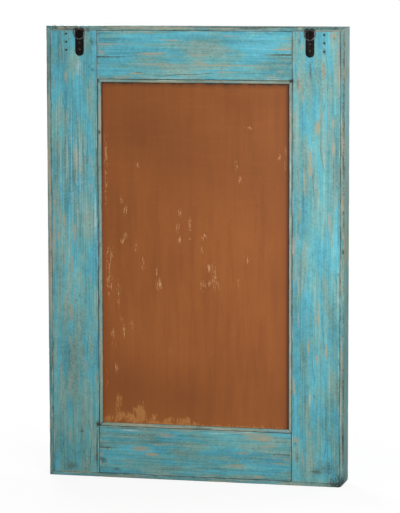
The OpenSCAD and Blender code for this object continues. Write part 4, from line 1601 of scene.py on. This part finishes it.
@dataclass
class FrontFrame:
    """Front stiles and rails round the shutters, and the strips that the shutters close against."""

    shop: Workshop
    play: float = 0.1 * MM

    def build(self) -> None:
        """Builds the front."""
        for side in HANDS:
            name = f"front_stile_{side}"
            bar = bar_from_box(name, side, "painted", joints=(Joint.OUTER,), row=6 * MM, column=6 * MM,
                               scatter=26, nicks=9, edge_wear=0.5 * MM)
            seats = [leaf_seat(f"hinge_frame_leaf_{side}_{end}", name, side == "left", self.play)
                     for end in ENDS]
            self.shop.bar(bar, "root", "turquoise_paint", name, cutters=seats)
        for side in ENDS:
            name = f"front_rail_{side}"
            bar = bar_from_box(name, side, "painted", joints=(Joint.OUTER, Joint.START, Joint.END),
                               row=6 * MM, column=6 * MM, scatter=16, nicks=6, edge_wear=0.5 * MM)
            self.shop.bar(bar, "root", "turquoise_paint", name)
        for side in SIDES:
            name = f"stop_{side}"
            bar = bar_from_box(name, side, "painted", mitre=1.0,
                               joints=(Joint.OUTER, Joint.BACK, Joint.START, Joint.END),
                               row=5 * MM, column=3 * MM, scatter=6, nicks=4)
            cutters = self.magnet_seats() if side == "top" else ()
            self.shop.bar(bar, "root", "turquoise_paint", name, cutters=cutters)
        self.shop.dress_node("catch_magnets", "steel")

    def magnet_seats(self) -> list[Cutter]:
        """Bores in the top strip that the catch magnets lie in.

        Returns:
            The cutters.
        """
        low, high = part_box("catch_magnets")
        radius = (high.z - low.z) / 2
        z = (low.z + high.z) / 2
        return [cutter_rod(Vector((x, low.y - MM, z)), Vector((x, high.y, z)), radius + self.play / 2)
                for x in (low.x + radius, high.x - radius)]


# ---- geometry nodes: louvres and screws ----


def set_inputs(made: Object, tree: NodeTree, values: dict[str, object]) -> None:
    """Puts a node tree on an object and sets its inputs by their identifiers.

    Args:
        made: The object.
        tree: The node tree.
        values: The inputs by name.
    """
    modifier = made.modifiers.new(tree.name, "NODES")
    modifier.node_group = tree
    for item in tree.interface.items_tree:
        if item.item_type == "SOCKET" and item.in_out == "INPUT" and item.name in values:
            modifier[item.identifier] = values[item.name]


def louvre_tree() -> NodeTree:
    """A row of tilted louvres with round edges, each a little different.

    Returns:
        The node tree.
    """
    g, start, end = new_group(
        "louvre_row", "GeometryNodeTree",
        {"Geometry": ("Geometry", None), "Origin": ("Vector", None), "Count": ("Int", 8),
         "Step": ("Float", 0.02), "Length": ("Float", 0.1), "Width": ("Float", 0.025),
         "Thickness": ("Float", 0.0055),
         "Tilt": ("Float", 0.9), "Wear": ("Float", 0.0002), "Seed": ("Int", 4), "Finish": ("Material", None)},
        {"Geometry": "Geometry"})
    size = start.outputs
    profile = g.node("GeometryNodeCurvePrimitiveQuadrilateral",
                     {"Width": size["Width"], "Height": size["Thickness"]})
    fillet = g.node("GeometryNodeFilletCurve",
                    {"Curve": profile.outputs[0], "Radius": g.times(size["Thickness"], 0.49), "Count": 5},
                    mode="POLY")
    half_length = g.times(size["Length"], 0.5)
    line = g.node("GeometryNodeCurvePrimitiveLine",
                  {"Start": g.xyz(g.times(half_length, -1.0)), "End": g.xyz(half_length)}, mode="POINTS")
    path = g.node("GeometryNodeResampleCurve", {"Curve": line.outputs[0], "Count": 20})
    slat = g.node("GeometryNodeCurveToMesh",
                  {"Curve": path.outputs[0], "Profile Curve": fillet.outputs[0], "Fill Caps": True})
    half = g.xyz(half_length, g.times(size["Width"], 0.5), g.times(size["Thickness"], 0.5))
    mesh = slat.outputs[0]
    for name, value in (("grain", g.node("GeometryNodeInputPosition").outputs[0]), ("half", half)):
        store = g.node("GeometryNodeStoreNamedAttribute", {"Geometry": mesh, "Name": name, "Value": value},
                       data_type="FLOAT_VECTOR", domain="POINT")
        mesh = store.outputs[0]
    points = g.node("GeometryNodeMeshLine", {"Count": size["Count"], "Start Location": size["Origin"],
                                             "Offset": g.xyz(z=size["Step"])}, mode="OFFSET")
    rotation = g.node("FunctionNodeEulerToRotation", {"Euler": g.xyz(size["Tilt"])}).outputs[0]
    row = g.node("GeometryNodeInstanceOnPoints",
                 {"Points": points.outputs[0], "Instance": mesh, "Rotation": rotation})
    shifted = g.node("GeometryNodeStoreNamedAttribute",
                     {"Geometry": row.outputs[0], "Name": "shift", "Value": g.draw(0.0, 40.0, size["Seed"])},
                     data_type="FLOAT", domain="INSTANCE")
    real = g.node("GeometryNodeRealizeInstances", {"Geometry": shifted.outputs[0]})
    place = g.node("GeometryNodeInputPosition").outputs[0]
    wave = g.times(g.noise(place, 70.0, 2.0), size["Wear"])
    normal = g.node("GeometryNodeInputNormal").outputs[0]
    inwards = g.node("ShaderNodeVectorMath", {0: normal, "Scale": g.times(wave, -1.0)}, operation="SCALE")
    worn = g.node("GeometryNodeSetPosition", {"Geometry": real.outputs[0], "Offset": inwards.outputs[0]})
    done = g.node("GeometryNodeSetMaterial", {"Geometry": worn.outputs[0], "Material": size["Finish"]})
    g.put(end.inputs["Geometry"], done.outputs[0])
    return g.tree


def screw_tree() -> NodeTree:
    """One screw on every point, aimed along the point's own direction, with a random turn.

    Returns:
        The node tree.
    """
    g, start, end = new_group(
        "screws_on_points", "GeometryNodeTree",
        {"Geometry": ("Geometry", None), "Screw": ("Object", None), "Turn": ("Float", 3.14),
         "Seed": ("Int", 3), "Finish": ("Material", None)},
        {"Geometry": "Geometry"})
    aim = g.node("GeometryNodeInputNamedAttribute", {"Name": "aim"}, data_type="FLOAT_VECTOR").outputs[0]
    upright = g.node("FunctionNodeAlignRotationToVector", {"Vector": aim}, axis="Z").outputs[0]
    drawn = g.draw(0.0, start.outputs["Turn"], start.outputs["Seed"])
    twist = g.node("FunctionNodeAxisAngleToRotation", {"Axis": (0.0, 0.0, 1.0), "Angle": drawn}).outputs[0]
    rotation = g.node("FunctionNodeRotateRotation", {"Rotation": upright, "Rotate By": twist},
                      rotation_space="LOCAL").outputs[0]
    info = g.node("GeometryNodeObjectInfo", {"Object": start.outputs["Screw"], "As Instance": True})
    row = g.node("GeometryNodeInstanceOnPoints", {
        "Points": start.outputs["Geometry"], "Instance": info.outputs["Geometry"], "Rotation": rotation})
    real = g.node("GeometryNodeRealizeInstances", {"Geometry": row.outputs[0]})
    done = g.node("GeometryNodeSetMaterial",
                  {"Geometry": real.outputs[0], "Material": start.outputs["Finish"]})
    g.put(end.inputs["Geometry"], done.outputs[0])
    return g.tree


@dataclass(frozen=True)
class ScrewPattern:
    """A wood screw, drawn along z: a head over z = 0 and a shank under it."""

    name: str
    head_radius: float
    head_rise: float
    sink: float
    shank_radius: float
    shank_length: float
    slot_width: float
    slot_depth: float
    sides: int = 28

    def build(self) -> Object:
        """Turns the head and shank and cuts the slot.

        Returns:
            The screw.
        """
        r, rise = self.head_radius, self.head_rise
        outline = [(0.0, rise)]
        steps = 6
        for k in range(1, steps + 1):
            angle = k / steps * math.pi / 2
            outline.append((r * math.sin(angle), max(rise, 0.1 * MM) * math.cos(angle)))
        outline += [(r, -0.1 * MM), (self.shank_radius, -self.sink),
                    (self.shank_radius, -self.shank_length * 0.8), (0.0, -self.shank_length)]
        points, faces, sides = [], [], self.sides
        for radius, z in outline:
            points += [(radius * math.cos(t), radius * math.sin(t), z)
                       for t in (2 * math.pi * k / sides for k in range(sides))]
        for i in range(0, sides * (len(outline) - 1), sides):
            for k in range(sides):
                n = (k + 1) % sides
                faces.append((i + k, i + sides + k, i + sides + n, i + n))
        mesh = bpy.data.meshes.new(self.name)
        mesh.from_pydata(points, [], faces)
        face_outwards(mesh, merge=1e-6)
        made = new_object(self.name, mesh)
        slot = cutter_box(Vector((-2 * r, -self.slot_width / 2, rise - self.slot_depth)),
                          Vector((2 * r, self.slot_width / 2, rise + MM)))
        cut_from(made, [slot])
        smooth_but_sharp(made.data)
        return made


@dataclass
class ScrewMaker:
    """Sets rows of screws with one node tree."""

    shop: Workshop
    tree: NodeTree = field(default_factory=screw_tree)

    def set_screws(self, name: str, pattern: Object, places: Sequence[Vector], aims: Sequence[Vector],
                   body: str, slot: str, node: str, finish: str = "") -> Object:
        """Makes one piece of all the screws of a body.

        Args:
            name: The piece's name.
            pattern: The screw that is repeated.
            places: Where the underside of each head is.
            aims: The way each head faces.
            body: The body that the screws ride on.
            slot: The record's material slot.
            node: The CAD node that they stand for.
            finish: The finish, where it isn't the slot's own.

        Returns:
            The piece.
        """
        mesh = bpy.data.meshes.new(name)
        mesh.from_pydata([tuple(p) for p in places], [], [])
        set_attribute(mesh, "aim", np.array([tuple(a) for a in aims]))
        made = new_object(name, mesh)
        set_inputs(made, self.tree, {"Screw": pattern, "Turn": math.pi, "Seed": seed_of(name) % 1000,
                                     "Finish": self.shop.finishes.made[finish or slot]})
        settle(made)
        smooth_but_sharp(made.data)
        return self.shop.finish(made, body, slot, node)


@dataclass
class Hangers:
    """The two strap hangers at the top of the back, with their rings and screws."""

    shop: Workshop
    screws: ScrewMaker
    strap_thickness: float = 1.5 * MM
    bar_drop: float = 6.4 * MM
    screw_drops: tuple[float, ...] = (27 * MM, 40 * MM)
    edge: float = 0.35 * MM
    ring_wire: float = 1.5 * MM
    ring_bend: float = 1.8 * MM
    bend_steps: int = 6
    arc_steps: int = 24

    def ring(self, side: str) -> None:
        """The wire ring, swept along its own line.

        Args:
            side: The ring's side.
        """
        low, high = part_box(f"hang_ring_{side}")
        centre = (low + high) / 2
        r = self.ring_wire
        half = (high.x - low.x) / 2 - r
        top, bottom = high.z - r, low.z + r
        bend, steps = self.ring_bend, self.bend_steps
        line: list[tuple[float, float]] = []
        for k in range(steps + 1):
            t = math.pi / 2 * k / steps
            line.append((half - bend + bend * math.sin(t), top - bend + bend * math.cos(t)))
        round_z = bottom + half
        for k in range(self.arc_steps + 1):
            t = math.pi * k / self.arc_steps
            line.append((half * math.cos(t), round_z - half * math.sin(t)))
        for k in range(steps + 1):
            t = math.pi / 2 * k / steps
            line.append((-half + bend - bend * math.cos(t), top - bend + bend * math.sin(t)))
        curve = bpy.data.curves.new(f"wire_{side}", "CURVE")
        curve.dimensions, curve.bevel_depth, curve.bevel_resolution = "3D", r, 5
        spline = curve.splines.new("POLY")
        spline.points.add(len(line) - 1)
        for point, (x, z) in zip(spline.points, line):
            point.co = (centre.x + x, centre.y, z, 1.0)
        spline.use_cyclic_u = True
        wire = bpy.data.objects.new(f"wire_{side}", curve)
        bpy.context.scene.collection.objects.link(wire)
        bpy.context.view_layer.update()
        graph = bpy.context.evaluated_depsgraph_get()
        mesh = bpy.data.meshes.new_from_object(wire.evaluated_get(graph), depsgraph=graph)
        bpy.data.objects.remove(wire)
        made = new_object(f"wire_ring_{side}", mesh, self.shop.finishes.made["wire"])
        smooth_but_sharp(mesh, angle=60.0)
        self.shop.finish(made, f"ring_{side}", "bronze_black", f"hang_ring_{side}")

    def build(self) -> None:
        """Builds both hangers and their four screws."""
        places, aims = [], []
        for side in HANDS:
            node = f"hanger_strap_{side}"
            strap = eased_copy(node, f"rolled_strap_{side}", self.edge, self.shop.finishes.made["strap"])
            self.shop.finish(strap, "root", "bronze_black", node)
            self.ring(side)
            low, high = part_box(node)
            bar_z = CAD_BOX[1].z - self.bar_drop
            for drop in self.screw_drops:
                places.append(Vector(((low.x + high.x) / 2, self.strap_thickness, bar_z - drop)))
                aims.append(Vector((0.0, 1.0, 0.0)))
        pattern = ScrewPattern("round_head_screw", head_radius=3.3 * MM, head_rise=2.0 * MM, sink=1.2 * MM,
                               shank_radius=1.6 * MM, shank_length=16 * MM, slot_width=0.9 * MM,
                               slot_depth=1.1 * MM).build()
        self.screws.set_screws("hanger_screw_set", pattern, places, aims, "root", "bronze_black",
                               "hanger_screws", "strap")
        bpy.data.objects.remove(pattern)


@dataclass
class Shutters:
    """The pair of louvred shutters with their hinges, knobs and strikes."""

    shop: Workshop
    screws: ScrewMaker
    louvres: NodeTree = field(default_factory=louvre_tree)
    louvre_thickness: float = 5.5 * MM
    louvre_tilt: float = math.radians(52)
    louvre_pitch: float = 21 * MM
    louvre_wear: float = 0.25 * MM
    louvre_seeds: tuple[int, int] = (11, 23)
    housing: float = 4.8 * MM
    play: float = 0.1 * MM
    screw_spread: float = 0.3

    def strike_seat(self, side: str) -> list[Cutter]:
        """The bore that the strike lies in, at the top of the meeting stile.

        Args:
            side: The shutter's side.

        Returns:
            The cutter.
        """
        low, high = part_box(f"strike_{side}")
        middle = (low + high) / 2
        radius = (high.z - low.z) / 2 + self.play / 2
        start = Vector((middle.x, high.y + MM, middle.z))
        return [cutter_rod(start, Vector((middle.x, low.y, middle.z)), radius)]

    def frame_of(self, side: str) -> None:
        """The two stiles and two rails of one shutter.

        Args:
            side: The shutter's side.
        """
        body = f"shutter_{side}"
        other = "right" if side == "left" else "left"
        for kind, facing in (("hinge_stile", side), ("meeting_stile", other)):
            name = f"shutter_{kind}_{side}"
            bar = bar_from_box(name, facing, "painted", joints=(Joint.INNER,), row=6 * MM, column=4.5 * MM,
                               scatter=16, nicks=8, edge_wear=0.45 * MM)
            seats = self.strike_seat(side)
            if kind == "hinge_stile":
                seats = [leaf_seat(f"hinge_door_leaf_{side}_{end}", name, side == "right", self.play)
                         for end in ENDS]
            self.shop.bar(bar, body, "turquoise_paint", name, cutters=seats)
        for end in ENDS:
            name = f"shutter_{end}_rail_{side}"
            bar = bar_from_box(name, end, "painted", row=5 * MM, column=4.5 * MM, scatter=5, nicks=3,
                               joints=(Joint.START, Joint.END), edge_wear=0.4 * MM)
            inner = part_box(f"shutter_hinge_stile_{side}")
            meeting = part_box(f"shutter_meeting_stile_{side}")
            left, right = (inner, meeting) if side == "left" else (meeting, inner)
            bar.length = right[0].x - left[1].x
            bar.corner.x = (right[0].x + left[1].x) / 2
            self.shop.bar(bar, body, "turquoise_paint", name)

    def louvre_row(self, side: str) -> None:
        """All louvres of one shutter.

        Args:
            side: The shutter's side.
        """
        node = f"louvres_{side}"
        low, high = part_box(node)
        t = self.louvre_thickness
        chord = (high.y - low.y - t) / math.cos(self.louvre_tilt)
        rise = chord * math.sin(self.louvre_tilt) + t
        span = (high.z - low.z) - rise
        gaps = math.ceil(span / self.louvre_pitch)
        made = new_object(f"louvre_row_{side}", bpy.data.meshes.new(f"louvre_row_{side}"))
        finish = self.shop.finishes.made["turquoise_paint"]
        length = high.x - low.x
        set_inputs(made, self.louvres, {
            "Origin": ((low.x + high.x) / 2, (low.y + high.y) / 2, low.z + rise / 2),
            "Count": gaps + 1, "Step": span / gaps, "Length": length, "Width": chord + t, "Thickness": t,
            "Tilt": self.louvre_tilt, "Wear": self.louvre_wear,
            "Seed": self.louvre_seeds[HANDS.index(side)], "Finish": finish})
        settle(made)
        mesh = made.data
        grain = np.zeros(len(mesh.vertices) * 3, np.float32)
        mesh.attributes["grain"].data.foreach_get("vector", grain)
        along = np.abs(grain.reshape(-1, 3)[:, 0])
        seams = np.ones((len(along), 4))
        seams[:, 0] = np.abs(length / 2 - self.housing - along)
        set_attribute(mesh, "seams", seams)
        set_attribute(mesh, "marks", np.zeros((len(along), 4)))
        smooth_but_sharp(mesh, angle=40.0)
        self.shop.finish(made, f"shutter_{side}", "turquoise_paint", node)

    def hinge_screws(self) -> None:
        """Countersunk screws of the frame's and the shutters' hinge leaves."""
        pattern = ScrewPattern("countersunk_screw", head_radius=2.7 * MM, head_rise=0.0, sink=1.4 * MM,
                               shank_radius=1.4 * MM, shank_length=14 * MM, slot_width=0.7 * MM,
                               slot_depth=0.6 * MM).build()
        groups: dict[str, tuple[list[Vector], list[Vector], str]] = {
            "hinge_frame_screws": ([], [], "root"),
            "hinge_door_screws_left": ([], [], "shutter_left"),
            "hinge_door_screws_right": ([], [], "shutter_right"),
        }
        for side in HANDS:
            out = 1.0 if side == "left" else -1.0
            for end, who in ((end, who) for end in ENDS for who in ("frame", "door")):
                fixed = who == "frame"
                low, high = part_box(f"hinge_{who}_leaf_{side}_{end}")
                node = "hinge_frame_screws" if fixed else f"hinge_door_screws_{side}"
                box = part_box(node)
                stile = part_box(f"front_stile_{side}" if fixed else f"shutter_hinge_stile_{side}")
                edge = stile[1 if fixed == (side == "left") else 0].x
                middle, tall = (low.z + high.z) / 2, high.z - low.z
                for k in (-self.screw_spread, 0.0, self.screw_spread):
                    groups[node][0].append(Vector((edge, (box[0].y + box[1].y) / 2, middle + k * tall)))
                    groups[node][1].append(Vector((out if fixed else -out, 0.0, 0.0)))
        for node, (places, aims, body) in groups.items():
            self.screws.set_screws(f"{node}_set", pattern, places, aims, body, "bronze_black", node)
        bpy.data.objects.remove(pattern)

    def build(self) -> None:
        """Builds both shutters."""
        for side in HANDS:
            self.frame_of(side)
            self.louvre_row(side)
            for node, slot in ((f"knob_{side}", "bronze_black"), (f"knob_screw_{side}", "steel"),
                               (f"strike_{side}", "steel")):
                self.shop.dress_node(node, slot)
            for end in ENDS:
                self.shop.dress_node(f"hinge_frame_leaf_{side}_{end}", "bronze_black")
                self.shop.dress_node(f"hinge_door_leaf_{side}_{end}", "bronze_black")
        self.shop.dress_node("hinge_pins", "steel")
        self.hinge_screws()


# ---- the studio ----


@dataclass(frozen=True)
class Lamp:
    """A square soft lamp that looks at a point of the object."""

    name: str
    place: tuple[float, float, float]
    size: float
    watts: float
    target: tuple[float, float, float] = (0.0, 0.0, 0.45)

    def build(self) -> None:
        """Adds the lamp."""
        data = bpy.data.lights.new(self.name, "AREA")
        data.shape, data.size, data.energy = "SQUARE", self.size, self.watts
        made = bpy.data.objects.new(self.name, data)
        made.location = self.place
        aim = Vector(self.target) - Vector(self.place)
        made.rotation_mode = "QUATERNION"
        made.rotation_quaternion = aim.to_track_quat("-Z", "Y")
        made.visible_camera = False
        bpy.context.scene.collection.objects.link(made)


@dataclass
class Studio:
    """Pale floor, white surroundings and soft lamps."""

    ambient: float = 0.48
    floor_radius: float = 3.0
    floor_glow: float = 0.86
    fade: tuple[float, float] = (0.5, 1.6)
    lamps: tuple[Lamp, ...] = (
        Lamp("key", (-0.66, 1.2, 0.62), size=0.8, watts=15.6, target=(-0.1, 0.0, 0.45)),
        Lamp("front_key", (1.0, -1.7, 1.3), size=0.8, watts=26.0),
        Lamp("front_fill", (-1.2, -1.8, 0.9), size=0.8, watts=10.0),
    )

    @staticmethod
    def seen(graph: Graph) -> Socket:
        """1 on rays from the camera, from gloss and through glass.

        Args:
            graph: The graph of a material or world.

        Returns:
            The value.
        """
        path = graph.node("ShaderNodeLightPath").outputs
        both = graph.math("MAXIMUM", path["Is Camera Ray"], path["Is Glossy Ray"])
        return graph.math("MAXIMUM", both, path["Is Transmission Ray"])

    def surroundings(self) -> None:
        """White to the eye, plain soft light to the object."""
        world = bpy.data.worlds.new("white_studio")
        bpy.context.scene.world = world
        graph = cleared(world)
        level = graph.rise(self.seen(graph), 0.0, 1.0)
        strength = graph.node("ShaderNodeMapRange", {0: level, 1: 0.0, 2: 1.0, 3: self.ambient, 4: 1.0})
        sky = graph.node("ShaderNodeBackground", {"Color": WHITE, "Strength": strength.outputs[0]})
        graph.node("ShaderNodeOutputWorld", {"Surface": sky.outputs[0]})

    def floor(self) -> None:
        """A pale round floor that keeps the object's shadow and fades into the white."""
        mesh = bpy.data.meshes.new("floor")
        bm = bmesh.new()
        bmesh.ops.create_circle(bm, cap_ends=True, segments=96, radius=self.floor_radius)
        bm.to_mesh(mesh)
        bm.free()
        material = bpy.data.materials.new("pale_floor")
        g = cleared(material)
        seen = self.seen(g)
        colour = g.mix(seen, srgb(120, 120, 120), srgb(250, 250, 250))
        diffuse = g.node("ShaderNodeBsdfDiffuse", {"Color": colour})
        glow = g.node("ShaderNodeEmission", {"Color": WHITE, "Strength": 1.0})
        away = g.node("ShaderNodeVectorMath", {0: g.here()}, operation="LENGTH")
        far = g.rise(away.outputs["Value"], *self.fade)
        share = g.plus(self.floor_glow, g.times(far, 1.0 - self.floor_glow))
        both = g.node("ShaderNodeMixShader", {0: g.times(seen, share), 1: diffuse.outputs[0],
                                              2: glow.outputs[0]})
        g.node("ShaderNodeOutputMaterial", {"Surface": both.outputs[0]})
        new_object("floor", mesh, material)

    def build(self) -> None:
        """Builds floor, surroundings and lamps."""
        bpy.context.scene.view_settings.view_transform = "Standard"
        self.surroundings()
        self.floor()
        for lamp in self.lamps:
            lamp.build()


def main() -> None:
    """Builds the studio and the whole object, and reports each piece."""
    logging.basicConfig(level=logging.INFO, format="%(message)s")
    camera = PhotoCamera()
    camera.build()
    Studio().build()
    finishes = Finishes()
    finishes.build()
    shop = Workshop(finishes, camera)
    screws = ScrewMaker(shop)
    BackFrame(shop).build()
    FrontFrame(shop).build()
    Hangers(shop, screws).build()
    Shutters(shop, screws).build()


if __name__ == "__main__":
    main()
